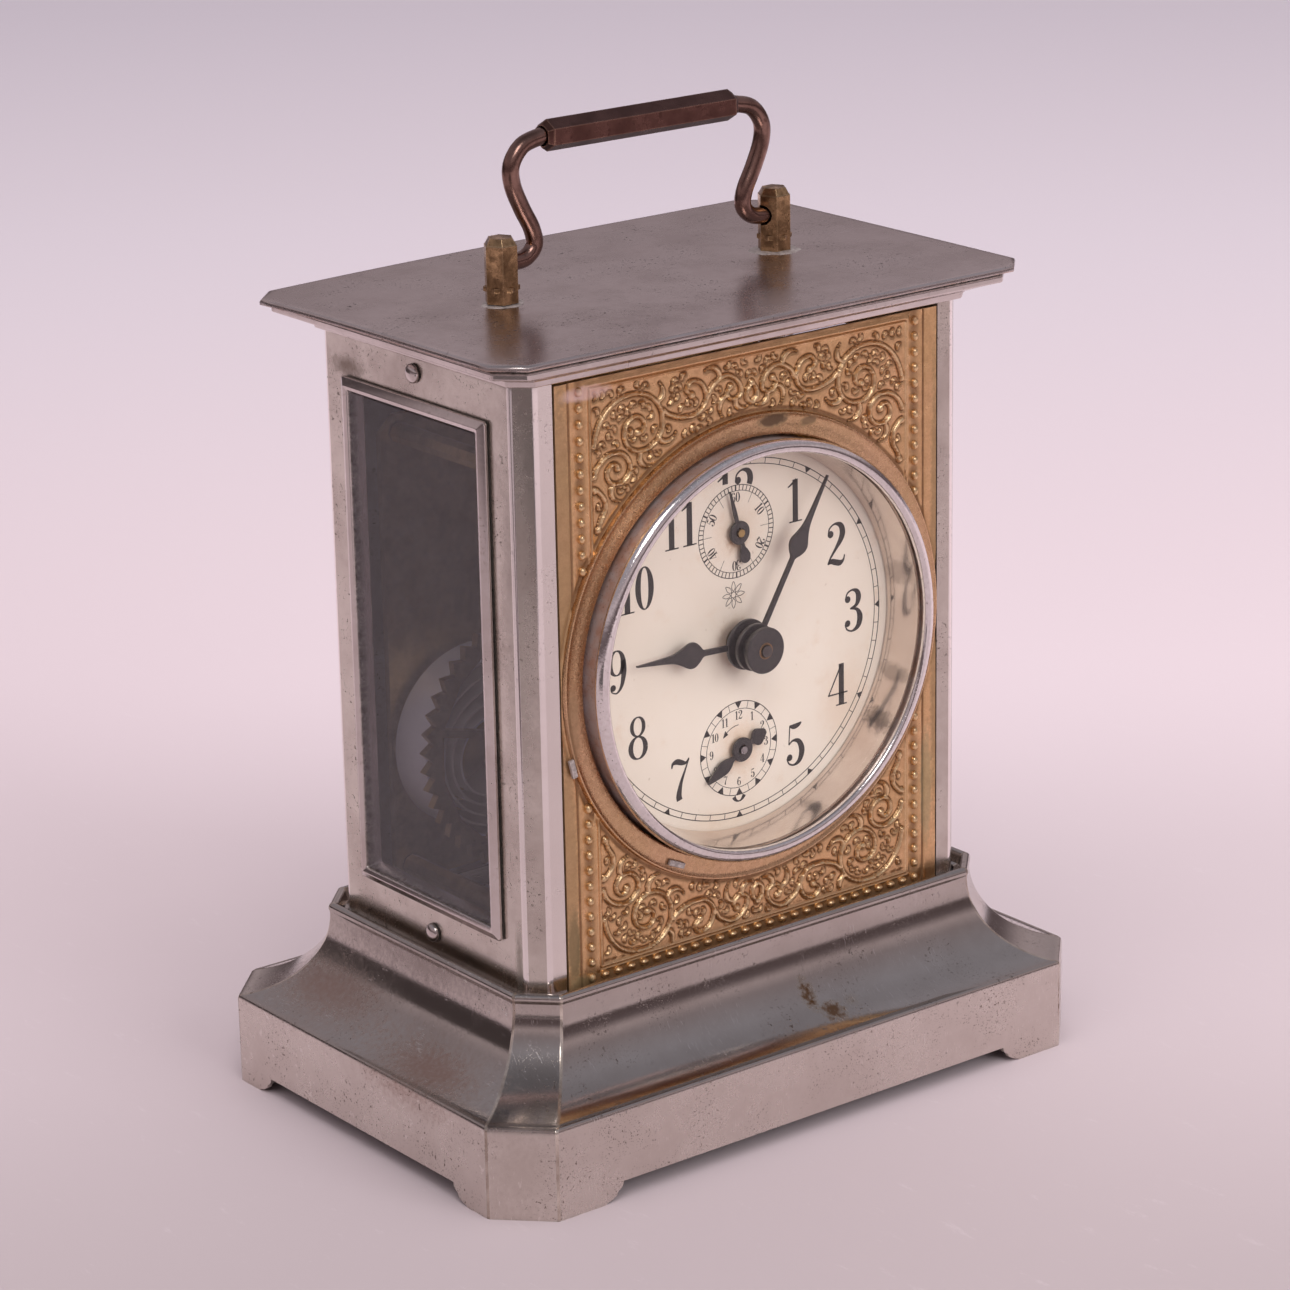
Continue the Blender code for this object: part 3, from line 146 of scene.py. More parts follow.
# --------------------------------------------------------------------- materials
class Paint:
    """One procedural material, whose patterns lie in the piece's own space, in millimetres."""

    def __init__(self, name):
        self.material = bpy.data.materials.new(name)
        self.material.use_nodes = True
        self.tree = self.material.node_tree
        self.tree.nodes.clear()
        self.place = self.vector("SCALE", self.node("TexCoord").outputs["Object"], scale=1 / MM)

    def feed(self, socket, value):
        if isinstance(value, bpy.types.NodeSocket):
            self.tree.links.new(value, socket)
        elif isinstance(value, tuple) and len(value) == 3 and socket.type == "RGBA":
            socket.default_value = (*value, 1.0)
        else:
            socket.default_value = value

    def node(self, kind, inputs=None, **settings):
        made = self.tree.nodes.new(f"ShaderNode{kind}")
        for key, value in settings.items():
            setattr(made, key, value)
        for key, value in (inputs or {}).items():
            if value is not None:
                self.feed(made.inputs[key], value)
        return made

    def vector(self, operation, a, b=None, scale=None):
        made = self.node("VectorMath", {0: a, 1: b, "Scale": scale}, operation=operation)
        return made.outputs["Value" if operation in ("LENGTH", "DOT_PRODUCT") else "Vector"]

    def maths(self, operation, a, b, clamp=False):
        return self.node("Math", {0: a, 1: b}, operation=operation, use_clamp=clamp).outputs[0]

    def chain(self, operation, values):
        result = values[0]
        for value in values[1:]:
            result = self.maths(operation, result, value)
        return result

    def times(self, *values):
        return self.chain("MULTIPLY", values)

    def plus(self, *values):
        return self.chain("ADD", values)

    def noise(self, scale, detail=3.0, rough=0.55, shift=0.0, stretch=(1, 1, 1)):
        place = self.vector("MULTIPLY", self.place, stretch)
        place = self.vector("ADD", place, (shift, shift * 0.7, shift * 1.3))
        inputs = {"Vector": place, "Scale": scale, "Detail": detail, "Roughness": rough}
        return self.node("TexNoise", inputs).outputs[0]

    def step(self, value, low, high, start=0.0, end=1.0):
        inputs = dict(enumerate((value, low, high, start, end)))
        return self.node("MapRange", inputs, interpolation_type="SMOOTHSTEP").outputs[0]

    def patches(self, scale, detail, rough, shift, low, high, stretch=(1, 1, 1)):
        """Noise cut into patches, from 0 at one of its levels to 1 at another."""
        return self.step(self.noise(scale, detail, rough, shift, stretch), low, high)

    def blend(self, share, a, b):
        return self.node("Mix", {0: share, 6: a, 7: b}, data_type="RGBA").outputs[2]

    def mix_shaders(self, share, a, b):
        return self.node("MixShader", {0: share, 1: a, 2: b}).outputs[0]

    def part(self, vector, index):
        return self.node("SeparateXYZ", {0: vector}).outputs[index]

    def normal(self):
        return self.node("NewGeometry").outputs["Normal"]

    def spot(self, centre, size, soft=0.5, ragged=0.35):
        """A soft patch: 1 at its centre, 0 outside its half-sizes, with a ragged edge."""
        away = self.vector("DIVIDE", self.vector("SUBTRACT", self.place, centre), size)
        wobble = self.times(self.plus(self.noise(1.1, 4.0, 0.65), -0.5), ragged * 2)
        return self.step(self.plus(self.vector("LENGTH", away), wobble), 1.0, 1.0 - soft)

    def cavity(self, reach):
        """1 deep in a corner, 0 on an open surface."""
        made = self.node("AmbientOcclusion", {"Distance": reach * MM}, samples=4)
        return self.maths("SUBTRACT", 1.0, made.outputs["AO"])

    def edge(self, reach):
        """1 along a sharp edge, 0 on a flat face."""
        bevel = self.node("Bevel", {"Radius": reach * MM}, samples=4)
        return self.step(self.vector("DOT_PRODUCT", bevel.outputs[0], self.normal()), 0.995, 0.9)

    def bump(self, height, depth):
        """A bump whose full height is a depth in millimetres."""
        return self.node("Bump", {"Height": height, "Distance": depth * MM, "Strength": 1.0}).outputs[0]

    def principled(self, colour, rough, metallic=0.0, normal=None, **more):
        inputs = {"Base Color": colour, "Roughness": rough, "Metallic": metallic, "Normal": normal}
        inputs.update({key.replace("_", " "): value for key, value in more.items()})
        return self.node("BsdfPrincipled", inputs).outputs[0]

    def done(self, surface):
        self.node("OutputMaterial", {"Surface": surface})
        return self.material

    def finish(self, colour, rough, height, depth, metallic=0.0, **more):
        return self.done(self.principled(colour, rough, metallic, self.bump(height, depth), **more))


def scaled(colour, shares):
    return tuple(c * s for c, s in zip(colour, shares))


def nickel(
    name,
    tint=(0.66, 0.585, 0.545),
    dull=(0.36, 0.29, 0.255),
    roughness=0.2,
    clouds=0.5,
    specks=0.5,
    grime_and_shade_amount=0.8,
    grime_and_shade_reach=1.6,
    scuffs=None,
    copper=0.0,
    stains=(),
    painted_return_sheen=False,
    dull_below=None,
):
    """Old nickel plate: cloudy tarnish, dark specks, scuffs, grimy corners darkened further by painted
    shade, and copper at worn edges.

    Scuffs are an amount and a stretch. The painted return sheen is a painted reflection: it lightens the
    bright edge of the front left corner where it faces the front.
    """
    paint = Paint(name)
    cloud = paint.patches(0.07, 5.0, 0.6, 3.1, 0.36, 0.68)
    mottle = paint.patches(0.5, 4.0, 0.65, 9.0, 0.3, 0.75)
    gather = paint.patches(0.11, 3.0, 0.6, 21.0, 0.42, 0.66)
    dots = paint.patches(1.5, 2.0, 0.5, 5.0, 0.635, 0.70)
    tiny = paint.patches(4.2, 1.0, 0.5, 14.0, 0.64, 0.71)
    freckles = paint.times(paint.maths("MAXIMUM", dots, paint.times(tiny, 0.7)), gather, specks)
    dulled = paint.times(paint.plus(paint.times(cloud, 0.7), paint.times(mottle, 0.3)), clouds)
    colour = paint.blend(dulled, tint, dull)
    colour = paint.blend(paint.times(freckles, 0.85), colour, (0.085, 0.06, 0.045))
    # Painted shade mixed with grimy deposits: ambient occlusion darkens the colour in corners and gaps,
    # broken up by ragged noise.
    ragged = paint.patches(0.7, 4.0, 0.7, 2.0, 0.2, 0.7)
    grime_and_shade = paint.times(paint.step(paint.cavity(grime_and_shade_reach), 0.18, 0.6), ragged, grime_and_shade_amount)
    colour = paint.blend(grime_and_shade, colour, (0.045, 0.034, 0.024))
    rough = paint.plus(roughness, paint.times(dulled, 0.16), paint.times(freckles, 0.3))
    rough = paint.plus(rough, paint.times(grime_and_shade, 0.4))
    metal = paint.maths("SUBTRACT", 1.0, paint.times(grime_and_shade, 0.7), clamp=True)
    if copper:
        worn = paint.times(paint.edge(0.45), paint.patches(0.2, 3.0, 0.6, 7.0, 0.35, 0.6), copper)
        colour = paint.blend(worn, colour, (0.56, 0.30, 0.17))
    for centre, size, shade, strength in stains:
        soft = 0.5 if strength > FAINT_STAIN else 0.98
        patch = paint.times(paint.spot(centre, size, soft, 0.5), strength)
        colour = paint.blend(patch, colour, shade)
        rough = paint.plus(rough, paint.times(patch, 0.3))
        metal = paint.maths("SUBTRACT", metal, paint.times(patch, 0.35), clamp=True)
    height = paint.times(paint.noise(1.3, 5.0, 0.6, 1.0), 0.5)
    if scuffs:
        amount, stretch = scuffs
        lines = paint.noise(2.2, 3.0, 0.6, 6.0, stretch)
        places = paint.patches(0.09, 2.0, 0.5, 31.0, 0.45, 0.62)
        marks = paint.times(paint.step(lines, 0.60, 0.68), places, amount)
        colour = paint.blend(paint.times(marks, 0.5), colour, (0.80, 0.76, 0.74))
        rough = paint.plus(rough, paint.times(marks, 0.2))
        height = paint.plus(height, paint.times(lines, 0.6 * amount))
    height = paint.plus(height, paint.times(freckles, -1.2), paint.times(grime_and_shade, 0.8))
    if painted_return_sheen:
        # Painted reflection: the front-facing faces of the left return are lightened and made smoother, as
        # if they mirrored the bright floor.
        faces_front = paint.step(paint.part(paint.normal(), 1), -0.8, -0.97)
        bright = paint.times(faces_front, paint.step(paint.part(paint.place, 0), -39.0, -39.4), 0.75)
        colour = paint.blend(bright, colour, (0.93, 0.86, 0.82))
        rough = paint.plus(rough, paint.times(bright, -0.08))
    if dull_below:
        matte = paint.step(paint.part(paint.place, 2), dull_below, dull_below - 0.8)
        rough = paint.plus(rough, paint.times(matte, 0.16))
        colour = paint.blend(paint.times(matte, freckles), colour, (0.10, 0.065, 0.045))
        colour = paint.vector("SCALE", colour, scale=paint.plus(1.0, paint.times(matte, 0.34)))
    return paint.finish(colour, rough, height, 0.012, metal)


def embossed_brass(name, tint, hollow, roughness, marks):
    """Stamped brass: dark in the hollows, bright on the crests, with stains and pinprick pitting."""
    paint = Paint(name)
    relief = paint.node("Attribute", attribute_name="relief").outputs["Fac"]
    cloud = paint.patches(0.06, 4.0, 0.6, 4.0, 0.3, 0.7)
    mottle = paint.patches(0.9, 5.0, 0.7, 8.0, 0.25, 0.75)
    grain = paint.patches(2.2, 3.0, 0.7, 12.0, 0.35, 0.65)
    warm = paint.blend(paint.times(cloud, 0.6), tint, scaled(tint, (0.86, 0.92, 0.80)))
    warm = paint.blend(paint.times(mottle, 0.22), warm, hollow)
    crest = paint.times(paint.step(relief, 0.58, 0.84), 0.85)
    colour = paint.blend(crest, warm, tuple(min(1.0, c * 1.22 + 0.05) for c in tint))
    sunk = paint.times(paint.step(relief, 0.49, 0.33), 0.85)
    dark = paint.maths("MAXIMUM", sunk, paint.times(paint.step(paint.cavity(0.9), 0.45, 0.9), 0.8))
    colour = paint.blend(dark, colour, hollow)
    colour = paint.blend(paint.times(grain, 0.24), colour, scaled(tint, (0.62, 0.52, 0.42)))
    rough = paint.plus(roughness, paint.times(mottle, 0.14), paint.times(dark, 0.2))
    metal = paint.maths("SUBTRACT", 1.0, paint.times(dark, 0.35))
    for centre, size, shade, strength in marks:
        patch = paint.times(paint.spot(centre, size), strength)
        colour = paint.blend(patch, colour, shade)
        rough = paint.plus(rough, paint.times(patch, 0.25))
        metal = paint.maths("SUBTRACT", metal, paint.times(patch, 0.6), clamp=True)
    height = paint.plus(paint.noise(2.4, 4.0, 0.65, 3.0), paint.times(paint.noise(0.8), 0.8))
    return paint.finish(colour, rough, height, 0.05, metal)


def aged_metal(name, tint, dark, roughness, wear=0.5, scale=0.6, grain=(1, 1, 1), metallic=1.0, edge=None):
    """Turned, drawn or cut metal with a mottled skin and darker hollows."""
    paint = Paint(name)
    mottle = paint.patches(scale, 5.0, 0.65, 2.0, 0.3, 0.7)
    spots = paint.patches(scale * 3.2, 3.0, 0.6, 17.0, 0.58, 0.72)
    corner = paint.step(paint.cavity(1.2), 0.25, 0.8)
    dulled = paint.maths("MAXIMUM", paint.times(mottle, wear), paint.times(spots, wear * 1.2), clamp=True)
    colour = paint.blend(dulled, tint, dark)
    if edge:
        colour = paint.blend(paint.times(paint.edge(0.3), 0.7), colour, edge)
    colour = paint.blend(paint.times(corner, 0.75), colour, tuple(c * 0.3 for c in dark))
    rough = paint.plus(roughness, paint.times(dulled, 0.18), paint.times(corner, 0.2))
    lines = paint.noise(3.0, 2.0, 0.5, 5.0, grain)
    height = paint.plus(paint.times(lines, 0.6), paint.times(mottle, 0.6))
    return paint.finish(colour, rough, height, 0.012, metallic)


def dial_paper(name):
    """Cream printed paper, foxed and browned round the arbors and the lower right edge."""
    paint = Paint(name)
    fibre = paint.noise(3.0, 5.0, 0.7, 4.0, (1, 1, 0.4))
    cloud = paint.patches(0.05, 3.0, 0.5, 11.0, 0.3, 0.7)
    fox = paint.patches(0.22, 5.0, 0.7, 19.0, 0.55, 0.8)
    fleck = paint.patches(1.4, 2.0, 0.5, 27.0, 0.70, 0.74)
    colour = paint.blend(cloud, (0.825, 0.745, 0.66), (0.80, 0.71, 0.615))
    colour = paint.blend(paint.times(fox, 0.5), colour, (0.70, 0.52, 0.38))
    colour = paint.blend(paint.times(fibre, 0.12), colour, (0.84, 0.76, 0.66))
    colour = paint.blend(paint.times(fleck, 0.5), colour, (0.40, 0.29, 0.20))
    for x, height, half_x, half_z, shade, strength in (
        (0, SECONDS_Z, 7.0, 7.0, (0.70, 0.52, 0.38), 0.40),
        (0, SECONDS_Z - 1.2, 2.9, 2.9, (0.42, 0.24, 0.13), 0.8),
        (0.5, ALARM_Z, 6.5, 6.5, (0.72, 0.50, 0.33), 0.5),
        (0, ALARM_Z, 2.9, 2.9, (0.45, 0.27, 0.16), 0.8),
        (0, 0, 6.2, 6.2, (0.60, 0.43, 0.31), 0.6),
        (23, -16, 8, 11, (0.72, 0.55, 0.42), 0.5),
        (-4, -31, 13, 4, (0.74, 0.60, 0.47), 0.45),
    ):
        patch = paint.spot((x, -DIAL_FACE, DIAL_Z + height), (half_x, 9, half_z), soft=0.8)
        colour = paint.blend(paint.times(patch, strength), colour, shade)
    return paint.finish(colour, 0.62, fibre, 0.02)


def glass(name, clear, roughness, dust, streaks=0.0, shine=0.045):
    """Thin glass: it passes light straight through, mirrors by angle, and holds a little dust."""
    paint = Paint(name)
    facing = paint.node("LayerWeight", {"Blend": 0.5}).outputs["Facing"]
    mirror = paint.plus(shine, paint.times(paint.maths("POWER", facing, 5.0), 0.95))
    see_through = paint.node("BsdfTransparent", {0: clear}).outputs[0]
    waves = paint.bump(paint.noise(0.05, 1.0, 0.5, 3.0), 0.05)
    gloss = paint.node("BsdfGlossy", {"Roughness": roughness, "Normal": waves}).outputs[0]
    film = paint.step(paint.noise(0.15, 5.0, 0.7, 8.0), 0.35, 0.8, 0.3, 1.0)
    if streaks:
        runs = paint.patches(0.9, 3.0, 0.6, 2.0, 0.5, 0.75, stretch=(1, 1, 0.02))
        film = paint.plus(film, paint.times(runs, streaks))
    corner = paint.step(paint.cavity(2.5), 0.3, 0.8)
    film = paint.plus(paint.times(film, dust), paint.times(corner, dust * 0.5))
    veil = paint.principled((0.55, 0.50, 0.47), 0.8)
    return paint.done(paint.mix_shaders(film, paint.mix_shaders(mirror, see_through, gloss), veil))


def black_enamel(name):
    """Black japanned steel with a soft sheen, dusty and rubbed at its edges."""
    paint = Paint(name)
    mottle = paint.patches(1.2, 4.0, 0.65, 3.0, 0.35, 0.7)
    worn = paint.times(paint.edge(0.12), paint.patches(0.8, 3.0, 0.6, 6.0, 0.5, 0.7))
    colour = paint.blend(mottle, (0.022, 0.019, 0.021), (0.045, 0.037, 0.038))
    colour = paint.blend(paint.times(worn, 0.5), colour, (0.20, 0.14, 0.10))
    rough = paint.plus(0.30, paint.times(mottle, 0.18))
    grain = paint.noise(4.0, 3.0, 0.6)
    return paint.finish(colour, rough, grain, 0.008, Coat_Weight=0.3, Coat_Roughness=0.2)


def matt(name, colour, other, roughness=0.8, scale=1.5, depth=0.05, metallic=0.0):
    """A dull mottled skin: ink, solder or a black card."""
    paint = Paint(name)
    mottle = paint.patches(scale, 4.0, 0.65, 5.0, 0.3, 0.7)
    rough = paint.plus(roughness, paint.times(mottle, 0.1))
    return paint.finish(paint.blend(mottle, colour, other), rough, mottle, depth, metallic)


def surround_material():
    """The polished strip round the dial, stained at its lower right."""
    paint = Paint("surround_cream")
    cloud = paint.patches(0.12, 4.0, 0.6, 3.0, 0.3, 0.7)
    colour = paint.blend(cloud, (0.77, 0.67, 0.60), (0.66, 0.56, 0.50))
    for x, height, size, strength in (
        (27.5, -19.5, (2.0, 5, 3.2), 0.7),
        (31.0, -11.5, (1.5, 5, 2.2), 0.45),
        (12.5, -31.0, (2.0, 5, 1.3), 0.4),
        (32.5, 6.0, (2.0, 5, 3.0), 0.35),
    ):
        patch = paint.spot((x, -27.5, DIAL_Z + height), size, 0.6, 0.5)
        colour = paint.blend(paint.times(patch, strength), colour, (0.07, 0.05, 0.04))
    return paint.finish(colour, 0.13, paint.noise(0.3, 2.0, 0.5), 0.03, 0.85)


def bezel_material():
    """The bezel: bright nickel on its rim, worn to coppery brown on its side."""
    paint = Paint("nickel_bezel")
    side = paint.step(paint.part(paint.place, 1), -(BEZEL_CREST - 1.5), -(BEZEL_CREST - 2.0))
    streak = paint.patches(0.25, 4.0, 0.65, 6.0, 0.35, 0.65)
    mottle = paint.patches(1.4, 4.0, 0.65, 2.0, 0.3, 0.7)
    specks = paint.patches(2.6, 2.0, 0.5, 9.0, 0.62, 0.70)
    colour = paint.blend(paint.times(mottle, 0.35), (0.90, 0.85, 0.83), (0.62, 0.55, 0.52))
    colour = paint.blend(side, colour, paint.blend(streak, (0.46, 0.27, 0.20), (0.50, 0.40, 0.37)))
    colour = paint.blend(paint.times(specks, 0.45), colour, (0.12, 0.07, 0.05))
    rough = paint.plus(0.07, paint.times(mottle, 0.06), paint.times(side, 0.25), paint.times(specks, 0.2))
    metal = paint.maths("SUBTRACT", 1.0, paint.times(side, 0.65))
    return paint.finish(colour, rough, paint.plus(mottle, paint.times(specks, -1.0)), 0.006, metal)


RUST = (0.085, 0.038, 0.012)
GREEN_GRIME = (0.075, 0.062, 0.026)

# Stains are (centre, half-sizes, colour, strength).
NICKEL_SIDE = nickel(
    # The side's front left return gets a painted reflection that lightens it.
    "nickel_side", (0.69, 0.63, 0.565), specks=0.8, grime_and_shade_amount=0.4, grime_and_shade_reach=0.8, painted_return_sheen=True,
    stains=(
        ((-SIDE_X, 19.0, 127.0), (4, 7.0, 2.4), (0.16, 0.10, 0.06), 0.6),
        ((-SIDE_X, -14.0, 124.5), (4, 6.0, 2.0), (0.12, 0.08, 0.05), 0.6),
        ((-SIDE_X, -24.0, 36.0), (4, 1.5, 9.0), (0.11, 0.085, 0.05), 0.5),
        ((-SIDE_X, -25.0, 96.0), (4, 4.5, 50.0), (0.30, 0.24, 0.215), 0.35),
    ),
)
NICKEL_LID = nickel(
    "nickel_lid", (0.70, 0.62, 0.595), (0.50, 0.415, 0.385), 0.21,
    clouds=0.6, specks=0.8, grime_and_shade_amount=0.9, grime_and_shade_reach=1.4, copper=0.7, scuffs=(0.35, (0.12, 2.0, 1)),
)
NICKEL_BASE = nickel(
    "nickel_base", (0.53, 0.48, 0.44), (0.33, 0.27, 0.235), 0.10,
    clouds=0.3, specks=0.7, grime_and_shade_amount=0.28, grime_and_shade_reach=0.9,
    scuffs=(0.7, (2.0, 0.25, 0.25)), dull_below=APRON_TOP,
    stains=(
        ((-56.0, 20.0, 20.5), (12, 27, 8.5), (0.26, 0.15, 0.12), 0.78),
        ((-57.0, -14.0, 16.5), (12, 23, 7.5), (0.23, 0.12, 0.09), 0.8),
        ((-50.5, 2.0, 29.3), (6, 36, 4.2), (0.20, 0.15, 0.14), 0.6),
        ((-58.5, -40.2, 8.0), (8, 8, 13.0), (0.30, 0.23, 0.20), 0.45),
        ((4.6, -38.0, 22.6), (2.6, 5, 5.2), RUST, 1.0),
        ((7.5, -37.0, 17.3), (3.4, 5, 2.0), RUST, 0.95),
        ((12.0, -38.5, 18.3), (2.2, 3, 1.2), RUST, 0.35),
        ((-55.5, -17.5, 16.2), (0.7, 1.2, 0.5), (0.75, 0.32, 0.33), 0.9),
    ),
)
WORN_BEND = nickel("nickel_bend", (0.97, 0.90, 0.87), (0.75, 0.66, 0.60), 0.12, clouds=0.3)
WORN_EDGE = aged_metal(
    "nickel_worn_edge", (0.74, 0.66, 0.58), (0.22, 0.15, 0.11), 0.16, 0.85, 0.12, metallic=0.9
)
NICKEL_FRAME = nickel(
    "nickel_frame", (0.72, 0.65, 0.62), roughness=0.15, clouds=0.4, specks=0.4, grime_and_shade_amount=0.95
)
NICKEL_BACK = nickel("nickel_back", roughness=0.28, clouds=0.7, specks=0.7)
NICKEL_BEZEL = bezel_material()
BRASS_MARKS = (
    ((-38.3, -FACE, 38.0), (1.6, 3, 8.0), GREEN_GRIME, 0.85),
    ((-37.0, -FACE, 31.0), (3.0, 3, 2.0), GREEN_GRIME, 0.7),
    ((37.5, -FACE, 48.0), (1.6, 3, 13.0), (0.16, 0.19, 0.12), 0.4),
    ((-33.5, -FACE, 129.5), (6.5, 3, 1.5), (0.72, 0.50, 0.47), 0.7),
    ((-38.6, -FACE, 106.0), (2.6, 3, 36.0), (0.24, 0.14, 0.07), 0.6),
    ((-38.8, -FACE, 52.0), (2.2, 3, 28.0), (0.24, 0.14, 0.07), 0.55),
    ((39.3, -FACE, 84.0), (1.3, 3, 52.0), (0.22, 0.13, 0.06), 0.6),
)
FRONT_BRASS = embossed_brass(
    "front_brass_relief", (0.90, 0.57, 0.31), (0.16, 0.07, 0.032), 0.25, BRASS_MARKS
)
RING_MARKS = (
    ((4.0, -29.2, DIAL_Z + 37.8), (4.2, 3, 1.4), (0.07, 0.035, 0.02), 0.9),
    ((11.5, -29.2, DIAL_Z + 36.4), (2.2, 3, 1.0), (0.08, 0.04, 0.02), 0.7),
    ((-37.8, -29.2, DIAL_Z - 6.0), (1.6, 3, 9.0), (0.16, 0.08, 0.04), 0.4),
)
RING_BRASS = embossed_brass(
    "front_brass_ring", (0.80, 0.52, 0.31), (0.15, 0.07, 0.035), 0.2, RING_MARKS
)
POST_BRASS = aged_metal(
    "post_brass", (0.69, 0.45, 0.24), (0.16, 0.09, 0.045), 0.2, 0.85, 0.55, (1.6, 1.6, 0.18),
    edge=(0.74, 0.52, 0.31),
)
HANDLE_COPPER = aged_metal(
    "rod_copper", (0.31, 0.185, 0.15), (0.14, 0.075, 0.06), 0.18, 0.6, 0.35, edge=(0.6, 0.38, 0.28)
)
GRIP_COPPER = aged_metal(
    "grip_copper", (0.16, 0.08, 0.065), (0.075, 0.035, 0.028), 0.24, 0.6, 0.25, (0.1, 2, 2),
    edge=(0.55, 0.33, 0.24),
)
WHEEL_BRASS = aged_metal("wheel_brass", (0.58, 0.42, 0.19), (0.24, 0.15, 0.06), 0.30, 0.5, 0.4)
KEY_BRASS = aged_metal("key_brass", (0.62, 0.44, 0.20), (0.28, 0.17, 0.07), 0.26, 0.45, 0.4)
CUT_STEEL = aged_metal("cut_steel", (0.42, 0.41, 0.42), (0.19, 0.16, 0.145), 0.26, 0.45, 0.5)
SPRING_STEEL = aged_metal("spring_steel", (0.60, 0.60, 0.62), (0.34, 0.33, 0.35), 0.22, 0.4, 0.3)
COIL_STEEL = aged_metal("coil_steel", (0.70, 0.68, 0.69), (0.48, 0.46, 0.47), 0.32, 0.3, 0.15, metallic=0.3)
BELL_STEEL = aged_metal("bell_nickel", (0.56, 0.53, 0.50), (0.27, 0.22, 0.19), 0.22, 0.4, 0.15)
BLACK = black_enamel("black_enamel")
PAPER = dial_paper("dial_paper_stained")
PRINT = matt("print_ink", (0.030, 0.026, 0.028), (0.055, 0.046, 0.046), 0.6, 4.0, 0.004)
SOLDER = matt("solder_grey", (0.62, 0.55, 0.52), (0.34, 0.29, 0.27), 0.42, 1.2, 0.08, 0.6)
FLAG_BLACK = matt("flag_black", (0.06, 0.05, 0.05), (0.07, 0.06, 0.06))
FRONT_GLASS = glass("front_glass_clear", (0.995, 0.99, 0.98), 0.02, 0.006, shine=0.02)
WINDOW_GLASS = glass("window_glass_smoky", (0.80, 0.79, 0.81), 0.03, 0.035, streaks=0.35)
SURROUND = surround_material()
MATERIAL_OF_SLOT = {
    "nickel_plate": NICKEL_SIDE,
    "front_brass": FRONT_BRASS,
    "handle_copper": HANDLE_COPPER,
    "aged_brass": KEY_BRASS,
    "glass": WINDOW_GLASS,
    "dial_paper": PAPER,
    "black_hands": BLACK,
    "movement_brass": WHEEL_BRASS,
    "movement_steel": CUT_STEEL,
    "blued_steel": SPRING_STEEL,
    "bell_steel": BELL_STEEL,
}


# ------------------------------------------------------------------ making pieces
def put(name, data):
    thing = bpy.data.objects.new(name, data)
    bpy.context.scene.collection.objects.link(thing)
    return thing


def raw_mesh(name, shape):
    """A mesh in metres from a shape in millimetres."""
    points, faces = shape
    mesh = bpy.data.meshes.new(name)
    mesh.from_pydata([tuple(c * MM for c in point) for point in points], [], faces)
    return mesh


@contextlib.contextmanager
def opened(mesh):
    """A mesh's geometry, held open while it is worked on."""
    work = bmesh.new()
    work.from_mesh(mesh)
    yield work
    work.to_mesh(mesh)
    work.free()


def solid_mesh(name, shape):
    mesh = raw_mesh(name, shape)
    with opened(mesh) as work:
        bmesh.ops.remove_doubles(work, verts=work.verts, dist=1e-7)
        bmesh.ops.recalc_face_normals(work, faces=work.faces)
    return mesh


def finish_piece(name, mesh, material, body, replaces=(), smooth=35.0):
    """A smooth piece that rides on a body and takes the finish it is given."""
    mesh.materials.append(material)
    mesh.shade_smooth()
    mesh.set_sharp_from_angle(angle=math.radians(smooth))
    thing = put(name, mesh)
    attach(thing, body)
    if replaces:
        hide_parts(*replaces)
    return thing


def add(name, shape, material, body, smooth=35.0):
    return finish_piece(name, solid_mesh(name, shape), material, body, smooth=smooth)


def stand_in(node, mesh, material, name=None, smooth=35.0):
    """A piece that stands for a CAD node, on the node's own body."""
    source = frame["nodes"][node]
    name = name or f"{node}_finished"
    return finish_piece(name, mesh, material, source["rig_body"], (node,), smooth)


def redraw(node, shape, material, smooth=35.0):
    return stand_in(node, solid_mesh(node, shape), material, smooth=smooth)


def soft_copy(node, material, width, segments=3):
    """A copy of a CAD node with rounded edges and a better skin, which stands for the node."""
    mesh = frame["nodes"][node].data.copy()
    with opened(mesh) as work:
        bmesh.ops.remove_doubles(work, verts=work.verts, dist=1e-6)
        flat = math.radians(0.6)
        bmesh.ops.dissolve_limit(work, angle_limit=flat, verts=work.verts, edges=work.edges)
        for edge in work.edges:
            edge.smooth = True
    mesh.materials.clear()
    thing = stand_in(node, mesh, material)
    if width:
        round_edges(thing, width, segments)
    return thing


def bake(thing):
    """Applies a piece's modifiers."""
    graph = bpy.context.evaluated_depsgraph_get()
    mesh = bpy.data.meshes.new_from_object(thing.evaluated_get(graph))
    thing.modifiers.clear()
    thing.data = mesh


def round_edges(thing, width, segments=3):
    bevel = thing.modifiers.new("soft_edges", "BEVEL")
    bevel.width = width * MM
    bevel.segments = segments
    bevel.limit_method = "ANGLE"
    bevel.angle_limit = math.radians(30)
    bevel.harden_normals = True
    bake(thing)


def wear_edges(thing, numbers, width, segments, material):
    """Rounds the edges with these numbers and gives the new faces another material."""
    thing.data.materials.append(material)
    weights = thing.data.attributes.new("bevel_weight_edge", "FLOAT", "EDGE")
    for number in numbers:
        weights.data[number].value = 1.0
    bevel = thing.modifiers.new("worn_edges", "BEVEL")
    bevel.width = width * MM
    bevel.segments = segments
    bevel.limit_method = "WEIGHT"
    bevel.material = 1
    bake(thing)


